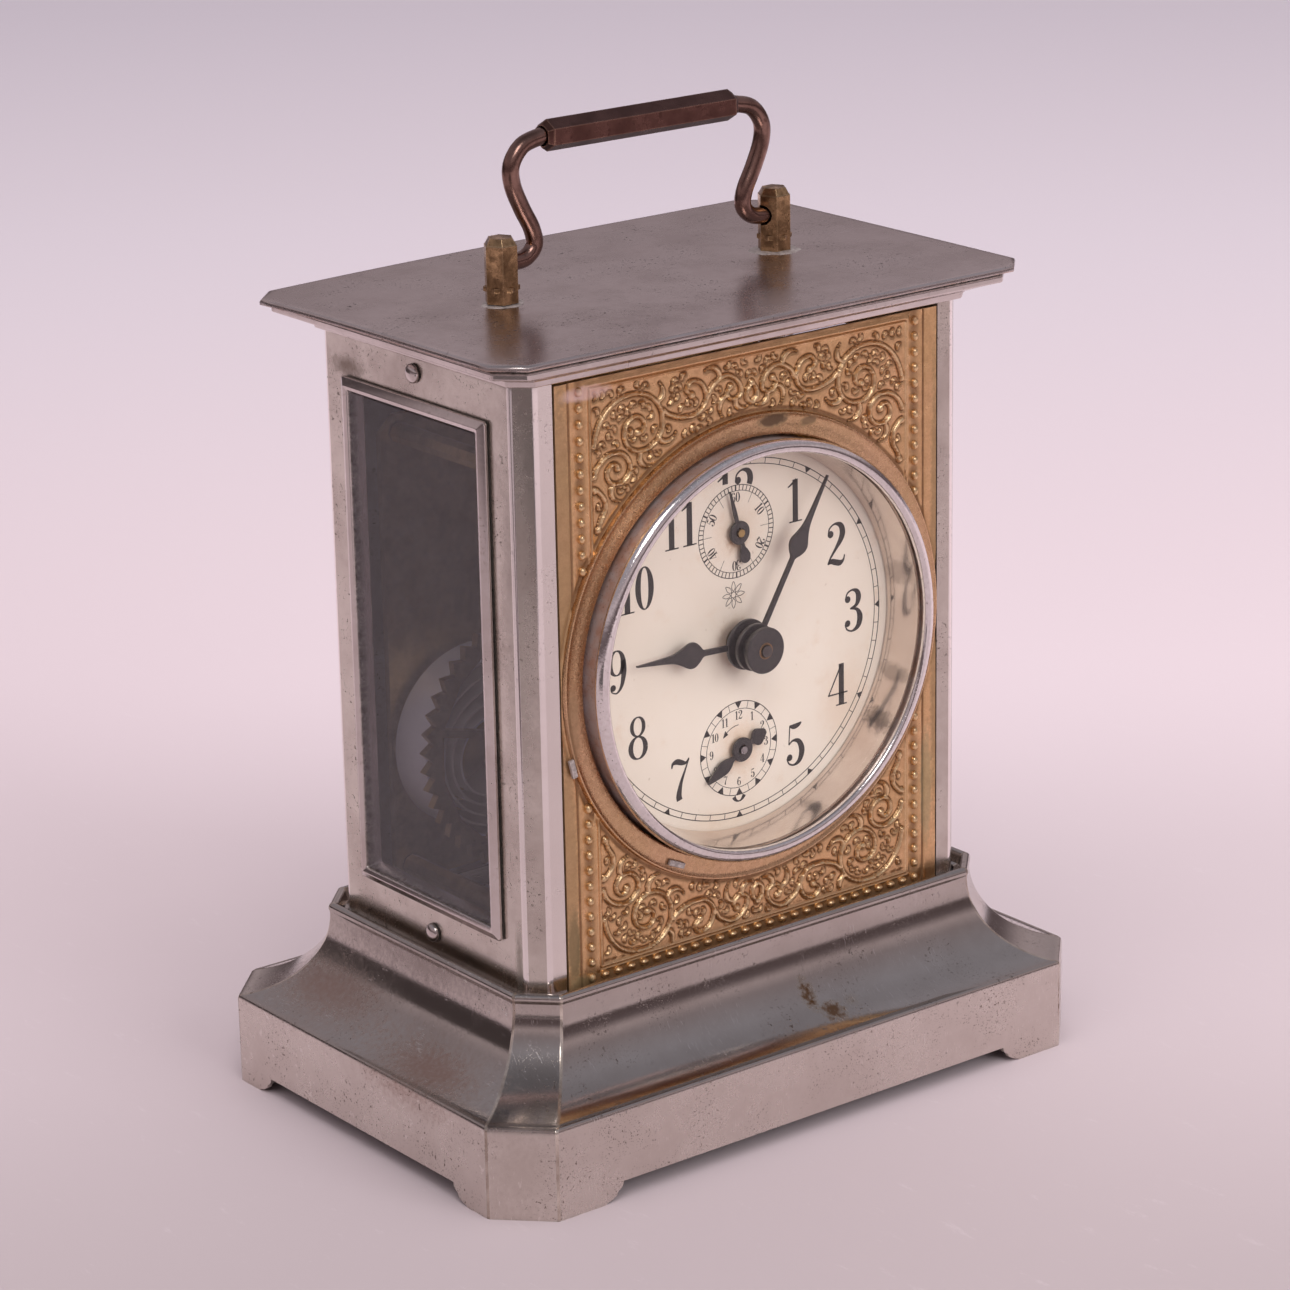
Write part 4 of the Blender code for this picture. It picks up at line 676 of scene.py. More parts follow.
# ------------------------------------------------------------------ shapes
def between(rows):
    """Four-sided faces between closed rows of point numbers."""
    faces = []
    for a, b in zip(rows, rows[1:]):
        for i in range(len(a)):
            j = (i + 1) % len(a)
            faces.append([a[i], a[j], b[j], b[i]])
    return faces


def stacked(loops, closed=False):
    """Joins equal closed loops in turn. Closed joins the last to the first; else both ends are capped."""
    count = len(loops[0])
    points = [point for loop in loops for point in loop]
    rows = [range(i * count, (i + 1) * count) for i in range(len(loops))]
    if closed:
        return points, between(rows + rows[:1])
    return points, between(rows) + [list(rows[0]), list(rows[-1])]


def lathe(profile, segments, closed=True):
    """Turns a profile of (radius, depth) round the dial's axis: points as (x, height, depth)."""
    points, rows = [], []
    for radius, depth in profile:
        if radius < 1e-6:
            rows.append([len(points)] * segments)
            points.append((0.0, 0.0, depth))
            continue
        rows.append(range(len(points), len(points) + segments))
        for i in range(segments):
            angle = 2 * math.pi * i / segments
            points.append((radius * math.sin(angle), radius * math.cos(angle), depth))
    if closed and profile[0][0] > 1e-6:
        rows.append(rows[0])
    faces = [[c for k, c in enumerate(face) if c not in face[:k]] for face in between(rows)]
    return points, [face for face in faces if len(face) > 2]


def front(shape, height=0.0):
    """A shape on the front, in the frame of the CAD."""
    points, faces = shape
    return [(x, -depth, DIAL_Z + h + height) for x, h, depth in points], faces


def catmull_rom(a, b, c, d, t):
    """A share t of the way from b to c, on a smooth line through all four."""
    return 0.5 * (2 * b + (c - a) * t + (2 * a - 5 * b + 4 * c - d) * t**2 + (3 * b - 3 * c + d - a) * t**3)


def smooth_line(points, steps):
    """A Catmull-Rom line through points of any number of coordinates."""
    ends = [points[0], *points, points[-1]]
    line = []
    for corners in zip(ends, ends[1:], ends[2:], ends[3:]):
        for step in range(steps):
            line.append(tuple(catmull_rom(*values, step / steps) for values in zip(*corners)))
    return line + [tuple(points[-1])]


def direction(line, i):
    """How far apart the neighbours of a line's point are, across and up."""
    before, after = line[max(i - 1, 0)], line[min(i + 1, len(line) - 1)]
    return after[0] - before[0], after[1] - before[1]


def tube(route, radius, segments):
    """A round rod with flat ends along a route in the XZ plane."""
    loops = []
    for i, (x, z) in enumerate(route):
        dx, dz = direction(route, i)
        along = Vector((dx, 0, dz)).normalized()
        side = Vector((-along.z, 0, along.x))
        loops.append([])
        for k in range(segments):
            angle = 2 * math.pi * k / segments
            offset = side * math.cos(angle) * radius + Vector((0, 1, 0)) * math.sin(angle) * radius
            loops[-1].append((x + offset.x, offset.y, z + offset.z))
    return stacked(loops)


def joined(*shapes):
    points, faces = [], []
    for some_points, some_faces in shapes:
        start = len(points)
        points += some_points
        faces += [[i + start for i in face] for face in some_faces]
    return points, faces


def prism(outline, near, far):
    """A flat outline of (x, height) with a thickness in depth."""
    count = len(outline)
    points = [(x, h, depth) for depth in (near, far) for x, h in outline]
    faces = [list(range(count)), list(range(count, 2 * count))]
    faces += [[i, (i + 1) % count, (i + 1) % count + count, i + count] for i in range(count)]
    return points, faces


def ribbon(line, near, far):
    """A flat stroke along (x, height, width) points with a thickness in depth."""
    points, faces = [], []
    for i, (x, h, width) in enumerate(line):
        dx, dh = direction(line, i)
        length = math.hypot(dx, dh) or 1.0
        nx, nh = -dh / length * width / 2, dx / length * width / 2
        for depth in (near, far):
            points += [(x + nx, h + nh, depth), (x - nx, h - nh, depth)]
    last = 4 * (len(line) - 1)
    for a in range(0, last, 4):
        for p, q in ((0, 1), (1, 3), (3, 2), (2, 0)):
            faces.append([a + p, a + q, a + 4 + q, a + 4 + p])
    return points, faces + [[0, 1, 3, 2], [last, last + 1, last + 3, last + 2]]


def disc_outline(radius, count, x, height):
    angles = [2 * math.pi * i / count for i in range(count)]
    return [(x + radius * math.cos(angle), height + radius * math.sin(angle)) for angle in angles]


def clockwise(radius, degrees):
    """A point at a radius and a clock angle from the top."""
    return radius * math.sin(math.radians(degrees)), radius * math.cos(math.radians(degrees))


def turned(outline, angle):
    """An outline turned clockwise about the dial's axis."""
    c, s = math.cos(angle), math.sin(angle)
    return [(x * c + y * s, y * c - x * s) for x, y in outline]


def chamfered(half_x, half_y, chamfer):
    a, b = half_x - chamfer, half_y - chamfer
    corners = [(half_x, b), (a, half_y), (-a, half_y), (-half_x, b)]
    return corners + [(-x, -y) for x, y in corners]


# -------------------------------------------------------------------- base
def base_sections():
    """The stamped base from the foot up the apron and cove, over the rolled rim and back down inside.

    Each section is a chamfered rectangle: half x, half y, chamfer, z.
    """
    steps, start, rim_radius = 28, math.radians(14), 0.85
    x, y = BASE_HALF
    rim_x, rim_y = RIM_HALF
    apron = ((0.0, -1.5), (0.0, -0.75), (0.12, -0.3), (0.45, -0.02))
    outer = [(x, y, BASE_CHAMFER, 0.0)]
    outer += [(x - inset, y - inset, BASE_CHAMFER, APRON_TOP + rise) for inset, rise in apron]
    top_x, top_y = x - 0.9, y - 0.9
    cove = []
    for i in range(steps + 1):
        angle = start + (math.pi / 2 - start) * i / steps
        inward = (math.sin(angle) - math.sin(start)) / (1 - math.sin(start))
        upward = (math.cos(start) - math.cos(angle)) / math.cos(start)
        half_x = top_x + (rim_x - top_x) * inward
        half_y = top_y + (rim_y - top_y) * inward
        chamfer = BASE_CHAMFER + (RIM_CHAMFER - BASE_CHAMFER) * inward
        cove.append((half_x, half_y, chamfer, APRON_TOP + (RIM_BOTTOM - APRON_TOP) * upward))
    rim = [(rim_x + 0.02, rim_y + 0.02, RIM_CHAMFER, RIM_BOTTOM + 0.12)]
    for i in range(11):
        angle = math.pi * (i - 1.5) / 8.5
        inset = rim_radius * (1 - math.cos(angle)) - 0.22
        z = RIM_TOP - rim_radius + rim_radius * math.sin(angle)
        rim.append((rim_x - inset, rim_y - inset, RIM_CHAMFER - inset * 0.58, z))
    for inset, narrower, drop in ((2.0, 1.2, 0.2), (2.6, 1.5, 0.5)):
        rim.append((rim_x - inset, rim_y - inset, RIM_CHAMFER - narrower, RIM_BOTTOM - drop))
    inner = [
        (a - SHEET, b - SHEET, chamfer - 0.5, z - SHEET * (0.9 if i < steps * 0.6 else 0.35))
        for i, (a, b, chamfer, z) in enumerate(cove[:-1])
    ][::-3]
    foot = (x - SHEET, y - SHEET, BASE_CHAMFER - 0.5, 0.0)
    return outer + cove + rim + inner + [foot]


def foot_cutter(name, reach, length, along_x):
    """The cut between two bracket feet, with a small step at each foot."""
    steps = [(4.6, -1.0), (3.5, 0.2), (2.4, 0.55), (1.4, 1.1), (1.1, 1.75), (0.5, 2.1)]
    half = [(reach + out, z) for out, z in steps + [(0.12, 2.6), (0, 3.2)]]
    points, faces = prism(half + [(-x, z) for x, z in half[::-1]], -length, length)
    points = [(d, x, z) if along_x else (x, d, z) for x, z, d in points]
    return put(name, solid_mesh(name, (points, faces)))


def make_base():
    """The base, with the plating worn through on the ridges that run up its corners."""
    loops = [[(x, y, z) for x, y in chamfered(*section)] for *section, z in base_sections()]
    base = redraw("base_shell", stacked(loops, closed=True), NICKEL_BASE)
    ridges = [edge.index for edge in base.data.edges if edge.vertices[0] // 8 != edge.vertices[1] // 8]
    for number in ridges:
        base.data.edges[number].use_edge_sharp = True
    wear_edges(base, ridges, 0.28, 2, WORN_EDGE)
    cutters = [
        foot_cutter("cut_x", FOOT_REACH[0], 70.0, False),
        foot_cutter("cut_y", FOOT_REACH[1], 90.0, True),
    ]
    for cutter in cutters:
        boolean = base.modifiers.new("feet", "BOOLEAN")
        boolean.operation = "DIFFERENCE"
        boolean.solver = "EXACT"
        boolean.object = cutter
    bake(base)
    for cutter in cutters:
        bpy.data.objects.remove(cutter)


# -------------------------------------------------------------------- lid
def lid_warp(x, y):
    """The thin plate's droop at its back left corner and its slight waves."""
    u, v = x / LID_HALF.x, y / LID_HALF.y
    corner = max(0.0, min(1.0, (-u + v - 0.9) / 1.1))
    return -LID_DROOP * corner**2 + 0.10 * math.sin(2.1 * u + 0.4) * math.cos(1.7 * v)


def divided(outline, step):
    """An outline with points about every step along its sides."""
    points = []
    for (x0, y0), (x1, y1) in zip(outline, outline[1:] + outline[:1]):
        count = max(1, round(math.hypot(x1 - x0, y1 - y0) / step))
        points += [(x0 + (x1 - x0) * i / count, y0 + (y1 - y0) * i / count) for i in range(count)]
    return points


def make_lid():
    outline = divided(chamfered(*LID_HALF, LID_CHAMFER), 3.0)
    rounding = ((0.0, 0.0), (0.0, 0.55), (0.10, 0.8), (0.32, 0.96), (0.7, 1.0))
    shrinks = (0.97, 0.9, 0.78, 0.62, 0.45, 0.28, 0.12)
    rows = [(shrink, shrink, LID_LOW) for shrink in shrinks[::-1]]
    for inset, share in rounding:
        rows.append((1 - inset / LID_HALF.x, 1 - inset / LID_HALF.y, LID_LOW + (LID_TOP - LID_LOW) * share))
    rows += [(shrink, shrink, LID_TOP) for shrink in shrinks]
    loops = []
    for scale_x, scale_y, z in rows:
        places = [(x * scale_x, y * scale_y) for x, y in outline]
        loops.append([(x, y, z + lid_warp(x, y)) for x, y in places])
    redraw("lid_plate", stacked(loops), NICKEL_LID, 50)
    soft_copy("lid_cornice", NICKEL_FRAME, 0.3)


# -------------------------------------------------------------------- handle
def make_handle():
    bends = [(29.2, 144.4), (25.9, 144.4), (23.4, 144.8), (21.7, 146.6), (22.1, 149.3)]
    bends += [(24.0, 152.9), (25.7, 156.9), (25.8, 160.2), (23.6, 163.0), (20.0, 164.0)]
    arm = smooth_line(bends, 6) + [(16.0, 164.0)]
    rod = tube(arm + [(-x, z) for x, z in arm[::-1]], ROD_RADIUS, 28)
    redraw("handle_rod", rod, HANDLE_COPPER, 60)
    soft_copy("handle_grip", GRIP_COPPER, 0.14)
    for side in ("left", "right"):
        soft_copy(f"handle_post_{side}", POST_BRASS, 0.12, 2)
        low, high = box_mm(f"handle_post_{side}")
        post_collar(f"post_collar_{side}", (low.x + high.x) / 2)
    smear("solder_smear_right", POST_X, 3.9, 3)
    smear("solder_smear_left", -POST_X, 3.2, 8)


def post_collar(name, x):
    """The raised line round a six-sided post."""
    loops = []
    rings = ((2.96, 140.2), (3.0, 140.45), (3.0, 140.75), (2.96, 141.0), (2.7, 141.0), (2.7, 140.2))
    for radius, z in rings:
        angles = [math.pi / 3 * k + math.pi / 6 for k in range(6)]
        loops.append([(x + radius * math.cos(angle), radius * math.sin(angle), z) for angle in angles])
    add(name, stacked(loops, closed=True), POST_BRASS, "case")


def smear(name, x, size, seed):
    """A low ragged pool of solder round a post's foot."""
    chance = random.Random(seed)
    count = 40
    reach = [size * (0.85 + 0.35 * chance.random()) for _ in range(count)]
    reach = [(reach[i - 1] + reach[i] + reach[(i + 1) % count]) / 3 for i in range(count)]
    ground = LID_TOP - 0.02
    loops = []
    for share, rise in ((1.0, 0.0), (0.93, 0.10), (0.8, 0.17), (0.6, 0.24), (0.3, 0.32)):
        loops.append([])
        for k in range(count):
            angle = 2 * math.pi * k / count
            r = reach[k] * share
            px, py = x + r * math.cos(angle) * 1.15, r * math.sin(angle)
            wave = 0.04 * math.sin(5 * angle + seed) * share
            loops[-1].append((px, py, ground + lid_warp(px, py) + rise + wave))
    add(name, stacked(loops), SOLDER, "case", 60)


# -------------------------------------------------------------------- sides
def roll_corners(wall):
    """Rounds the long upright bends of a side wall, whose crowns are rubbed bright."""
    mesh = wall.data
    faces_of = {}
    for polygon in mesh.polygons:
        for key in polygon.edge_keys:
            faces_of.setdefault(key, []).append(polygon.normal)
    bends = []
    for edge in mesh.edges:
        a, b = (mesh.vertices[i].co for i in edge.vertices)
        sides = faces_of.get(edge.key, [])
        if len(sides) == 2 and 0.5 < sides[0].dot(sides[1]) < 0.9 and abs(a.z - b.z) > 60 * MM:
            bends.append(edge.index)
    wear_edges(wall, bends, 0.55, 4, WORN_BEND)


def make_pane(node, sign):
    """A window's thin pane, held just inside the crown of its frame."""
    half_y, half_z = (half - PANE_INSET for half in WINDOW_HALF)
    near, far = SIDE_X + 0.3, SIDE_X + 0.9
    corners = [(-half_y, -half_z), (half_y, -half_z), (half_y, half_z), (-half_y, half_z)]
    points = [(sign * depth, y, WINDOW_Z + z) for depth in (near, far) for y, z in corners]
    faces = [[0, 1, 2, 3], [7, 6, 5, 4], [0, 4, 5, 1], [1, 5, 6, 2], [2, 6, 7, 3], [3, 7, 4, 0]]
    redraw(node, (points, faces), WINDOW_GLASS)


def make_rivet(node, sign):
    low, high = box_mm(node)
    radius, rise = (high.z - low.z) / 2, high.x - low.x
    profile = [(0.0, 0.0), (radius, 0.0)]
    for angle in (math.pi / 2 * i / 8 for i in range(9)):
        profile.append((radius * math.cos(angle), rise * (0.12 + 0.88 * math.sin(angle))))
    points, faces = lathe(profile, 28)
    start = low.x if sign > 0 else high.x
    centre_z = (low.z + high.z) / 2
    placed = [(start + sign * d, u, centre_z + v) for u, v, d in points]
    redraw(node, (placed, faces), NICKEL_FRAME, 50)


def make_sides():
    for side, sign in (("left", -1), ("right", 1)):
        roll_corners(soft_copy(f"side_wall_{side}", NICKEL_SIDE, 0.0))
        soft_copy(f"window_frame_{side}", NICKEL_FRAME, 0.38, 4)
        make_pane(f"window_glass_{side}", sign)
        make_rivet(f"rivet_{side}_lower", sign)
        make_rivet(f"rivet_{side}_upper", sign)


# -------------------------------------------------------------------- front relief
# Scrolls are (degrees, reach) pairs that wind in; stems are (x, height) points of the upper right corner.
BIG_SCROLL = [(-23, 9.7), (0, 8.5), (45, 6.8), (90, 5.6), (180, 5.0), (270, 3.75), (360, 2.7), (450, 1.9)]
BIG_SCROLL += [(540, 1.3), (630, 0.75)]
SMALL_SCROLL = [(-35, 4.9), (0, 4.0), (45, 3.1), (90, 2.75), (180, 3.0), (270, 2.3), (360, 1.5), (450, 1.0)]
SMALL_SCROLL += [(520, 0.6)]
TOP_STEM = [(18.0, 43.2), (16.8, 42.2), (13.8, 41.3), (10.9, 41.6), (9.3, 43.7), (10.2, 46.2), (12.3, 46.9)]
TOP_STEM += [(13.4, 45.7), (12.2, 44.6)]
INNER_STEM = [(9.0, 44.0), (7.9, 45.6), (5.3, 46.7), (2.8, 45.4), (2.2, 43.3), (3.9, 42.5)]
INNER_STEM += [(5.1, 43.7), (4.4, 44.7)]
CORNER_STEM = [(31.6, 32.6), (30.2, 31.0), (30.0, 29.2), (31.0, 27.4), (31.5, 26.0)]
CREST_STEM = [(0.0, 41.3), (1.0, 42.2), (0.9, 43.6), (0.0, 44.6)]


def volute(x, z, reaches):
    """A scroll that starts on the outer side of its centre, goes over the top and winds in."""
    fine = smooth_line(reaches, 9)
    return [(x + r * math.cos(math.radians(a)), z + r * math.sin(math.radians(a))) for a, r in fine]


def inside_field(x, z, margin):
    half_x, half_z = FIELD_HALF
    return abs(x) < half_x - margin and abs(z) < half_z - margin and math.hypot(x, z) > 39.8 + margin


def relief_samples():
    """Every raised mark of one corner, as (x, height, half width, rise)."""
    chance = random.Random(12)
    marks, taken, stems = [], [], []

    def clear(x, z, margin, apart):
        return inside_field(x, z, margin) and all((x - a) ** 2 + (z - b) ** 2 > apart for a, b in taken)

    lines = [volute(23.2, 41.2, BIG_SCROLL), volute(27.9, 35.2, SMALL_SCROLL)]
    lines += [smooth_line(stem, 8) for stem in (TOP_STEM, INNER_STEM, CORNER_STEM, CREST_STEM)]
    for line in lines:
        dense = smooth_line(line, 3)
        stems.append(dense)
        for i, (x, z) in enumerate(dense):
            if inside_field(x, z, 0.35):
                marks.append((x, z, 0.34 - 0.10 * i / len(dense), 0.50))
                taken.append((x, z))
        marks.append((*dense[-1], 0.55, 0.52))
    for stem in stems:
        travelled, wanted = 0.0, 1.2
        for before, here in zip(stem, stem[1:]):
            step = math.hypot(here[0] - before[0], here[1] - before[1])
            travelled += step
            if travelled < wanted or step < 1e-6:
                continue
            wanted = travelled + 1.9
            tangent = (here[0] - before[0]) / step, (here[1] - before[1]) / step
            for side in (1, -1):
                leaf = leaf_line(here, tangent, side, 1.9 + 1.5 * chance.random())
                tips = leaf[len(leaf) // 3 :]
                if all(clear(x, z, 0.3, 0.6) for x, z, _ in tips):
                    marks += [(x, z, half, 0.40) for x, z, half in leaf]
                    taken += [(x, z) for x, z, _ in tips]
    for _ in range(2600):
        x = chance.uniform(0.3, FIELD_HALF[0])
        z = chance.uniform(20, FIELD_HALF[1])
        if clear(x, z, 0.7, 1.7):
            turn = chance.uniform(0, 2 * math.pi)
            for k in range(-4, 5):
                bend = turn + 0.16 * k
                px, pz = x + 0.16 * k * math.cos(bend), z + 0.16 * k * math.sin(bend)
                marks.append((px, pz, 0.30 - 0.035 * abs(k), 0.28))
            taken.append((x, z))
    return marks


def leaf_line(root, tangent, side, length):
    """A comma-shaped leaf that leaves a stem and curls back along it."""
    tx, tz = tangent
    nx, nz = -tz * side, tx * side
    line = []
    for share in (i / 12 for i in range(13)):
        bend = 0.35 + 1.7 * share
        x = root[0] + length * share * (nx * math.sin(bend) + tx * math.cos(bend))
        z = root[1] + length * share * (nz * math.sin(bend) + tz * math.cos(bend))
        line.append((x, z, 0.14 + 0.27 * math.sin(math.pi * min(1.0, share * 1.05)) ** 1.3))
    return line


def relief_field(xs, zs):
    """Heights of the stamped front on a grid of x and height."""
    raised = np.zeros((len(zs), len(xs)))
    sunk = np.zeros_like(raised)
    marks = relief_samples()
    for mirror_x, mirror_z in ((1, 1), (1, -1), (-1, 1), (-1, -1)):
        for x, z, half, rise in marks:
            px, pz = x * mirror_x, z * mirror_z
            reach = half + 0.55
            columns = slice(*np.searchsorted(xs, (px - reach, px + reach)))
            rows = slice(*np.searchsorted(zs, (pz - reach, pz + reach)))
            away = np.hypot(xs[None, columns] - px, zs[rows, None] - pz)
            dome = rise * np.sqrt(np.clip(1 - (away / half) ** 2, 0, 1))
            moat = 0.22 * np.exp(-(((away - half - 0.12) / 0.17) ** 2))
            raised[rows, columns] = np.maximum(raised[rows, columns], dome)
            sunk[rows, columns] = np.maximum(sunk[rows, columns], moat)
    heights = np.where(raised > 0.02, raised, -sunk)
    ax = np.abs(xs)[None, :]

    def line(value, centre, half, rise):
        return rise * np.clip(1 - ((value - centre) / half) ** 2, 0, 1)

    top_zone, low_zone = zs[:, None] - FIELD_HALF[1], -zs[:, None] - FIELD_LOW
    frame_zone = np.maximum(ax - FIELD_HALF[0], np.maximum(top_zone, low_zone))
    border = np.maximum(line(frame_zone, 0.32, 0.26, 0.30), line(frame_zone, 0.92, 0.22, 0.2))
    trench = line(frame_zone, 2.3, 1.3, -0.12) * (frame_zone > 1.1)
    outer = line(ax, BEAD_COLUMN + 2.0, 0.35, -0.22)
    strip = np.where(ax > BEAD_COLUMN + 2.3, 0.10, 0.0)
    flat = np.where(frame_zone > 0.0, border + trench + outer + strip, heights)
    away = np.hypot(xs[None, :], zs[:, None])
    flat = flat - 0.22 * np.exp(-(((away - RING_RADIUS - 0.35) / 0.35) ** 2))
    waves = 0.03 * np.sin(xs[None, :] * 0.9 + 1.3 * np.sin(zs[:, None] * 0.7)) * np.cos(zs[:, None] * 1.1)
    return flat + waves


def make_panel():
    """The stamped front as a sheet of small faces, with a turned-in edge and a back."""
    low, high = PANEL_LOW - DIAL_Z, PANEL_HIGH - DIAL_Z
    xs = np.linspace(-PANEL_HALF, PANEL_HALF, round(2 * PANEL_HALF / RELIEF_STEP) + 1)
    zs = np.linspace(low, high, round((high - low) / RELIEF_STEP) + 1)
    heights = relief_field(xs, zs)
    index, points, relief, faces = {}, [], [], []

    def corner(j, i):
        if (j, i) not in index:
            index[(j, i)] = len(points)
            points.append((xs[i], zs[j], FACE + heights[j, i]))
            relief.append(float(np.clip(0.5 + heights[j, i], 0, 1)))
        return index[(j, i)]

    for j in range(len(zs) - 1):
        for i in range(len(xs) - 1):
            if math.hypot((xs[i] + xs[i + 1]) / 2, (zs[j] + zs[j + 1]) / 2) > OPENING_RADIUS + 1.0:
                faces.append([corner(j, i), corner(j, i + 1), corner(j + 1, i + 1), corner(j + 1, i)])
    mesh = raw_mesh("front_relief", front((points, faces)))
    with opened(mesh) as work:
        layer = work.verts.layers.float.new("relief")
        for vertex, value in zip(work.verts, relief):
            vertex[layer] = value
        rim = [edge for edge in work.edges if edge.is_boundary]
        made = bmesh.ops.extrude_edge_only(work, edges=rim)["geom"]
        for vertex in (thing for thing in made if isinstance(thing, bmesh.types.BMVert)):
            vertex.co.y = -(FACE - 0.7) * MM
        backs = [thing for thing in made if isinstance(thing, bmesh.types.BMEdge) and thing.is_boundary]
        bmesh.ops.bridge_loops(work, edges=backs)
        bmesh.ops.triangulate(work, faces=[face for face in work.faces if len(face.verts) > 4])
        bmesh.ops.recalc_face_normals(work, faces=work.faces)
    stand_in("front_panel", mesh, FRONT_BRASS, "front_panel_relief", 60)


def make_ring():
    """The raised ring round the opening."""
    profile = [(-0.6, -0.6), (-0.6, 0.45), (-0.35, 0.66), (0.2, 0.66), (1.1, 0.52), (2.0, 0.46)]
    profile += [(2.55, 0.56), (2.8, 0.74), (3.02, 0.70), (3.16, 0.36)]
    profile = [(OPENING_RADIUS + out, FACE + rise) for out, rise in profile]
    profile += [(RING_RADIUS, FACE - 0.15), (RING_RADIUS - 0.4, FACE - 0.6)]
    ring = add("front_panel_ring", front(lathe(profile, 180)), RING_BRASS, "case", 40)
    mark_level(ring, 0.6)


def make_beads():
    """The two columns and two rows of small beads."""
    rows, columns = round(2 * BEAD_ROW / BEAD_PITCH), round(2 * BEAD_COLUMN / BEAD_PITCH)
    places = []
    for k in range(rows + 1):
        places += [(sign * BEAD_COLUMN, -BEAD_ROW + 2 * BEAD_ROW * k / rows) for sign in (-1, 1)]
    for k in range(1, columns):
        places.append((-BEAD_COLUMN + 2 * BEAD_COLUMN * k / columns, -BEAD_ROW))
    profile = [(0.0, -0.3), (BEAD_RADIUS, -0.3)]
    for angle in (0.0, 0.35, 0.7, 1.05, 1.35):
        profile.append((BEAD_RADIUS * math.cos(angle), 0.85 * math.sin(angle)))
    dome, faces = lathe(profile + [(0.0, 0.85)], 14)
    parts = []
    for x, height in places:
        if math.hypot(x, height) >= RING_RADIUS + BEAD_RADIUS * 0.6:
            wide, tall = (1.0, 1.25) if abs(x) > BEAD_COLUMN - 0.1 else (1.25, 1.0)
            parts.append(([(px * wide + x, h * tall + height, FACE - 0.1 + d) for px, h, d in dome], faces))
    beads = add("front_panel_beads", front(joined(*parts)), FRONT_BRASS, "case", 60)
    mark_level(beads, 0.80)


def mark_level(thing, value):
    """Tells the embossed brass how high a whole piece stands."""
    level = thing.data.attributes.new("relief", "FLOAT", "POINT")
    level.data.foreach_set("value", [value] * len(thing.data.vertices))


# -------------------------------------------------------------------- bezel, glass, surround
def make_bezel():
    crest, lip, radius = BEZEL_CREST, BEZEL_LIP, BEZEL_RADIUS
    rounding = [(0.0, 1.0), (0.04, 0.55), (0.22, 0.22), (0.5, 0.05), (0.85, 0.0), (1.25, 0.09)]
    rounding += [(1.65, 0.32), (1.95, 0.62)]
    profile = [(lip + out, crest - drop) for out, drop in rounding]
    profile += [(BEZEL_RIM - 0.1, crest - 0.98), (BEZEL_RIM, crest - 1.35), (BEZEL_RIM - 0.2, crest - 1.7)]
    profile += [(radius, crest - 1.95), (radius - 0.05, crest - 2.6), (radius, BEZEL_BACK + 0.4)]
    profile += [(radius - 0.1, BEZEL_BACK), (radius - 0.7, BEZEL_BACK), (radius - 0.7, BEZEL_FLOOR)]
    profile.append((lip, BEZEL_FLOOR + 0.1))
    redraw("bezel", front(lathe(profile, 192)), NICKEL_BEZEL, 50)

    shares = [i / 12 for i in range(13)]
    domes = []
    for edge_depth in (GLASS_FRONT - GLASS_RISE, GLASS_BACK):
        domes.append([(DIAL_RADIUS * s, edge_depth + GLASS_RISE * (1 - s**2)) for s in shares])
    pane = lathe(domes[0] + domes[1][::-1], 128, closed=False)
    redraw("front_glass", front(pane), FRONT_GLASS, 50)

    near, far = depths("dial_surround")
    narrow, wide = SURROUND_RADII
    profile = [(wide, far), (DIAL_RADIUS, far), (DIAL_RADIUS, near), (narrow, near)]
    profile += [(narrow + (wide - narrow) * i / 10, near + (far - near) * i / 10) for i in range(1, 10)]
    redraw("dial_surround", front(lathe(profile, 160)), SURROUND)


# -------------------------------------------------------------------- dial print
THIN = 0.03
FIGURE_HEIGHT = 7.4
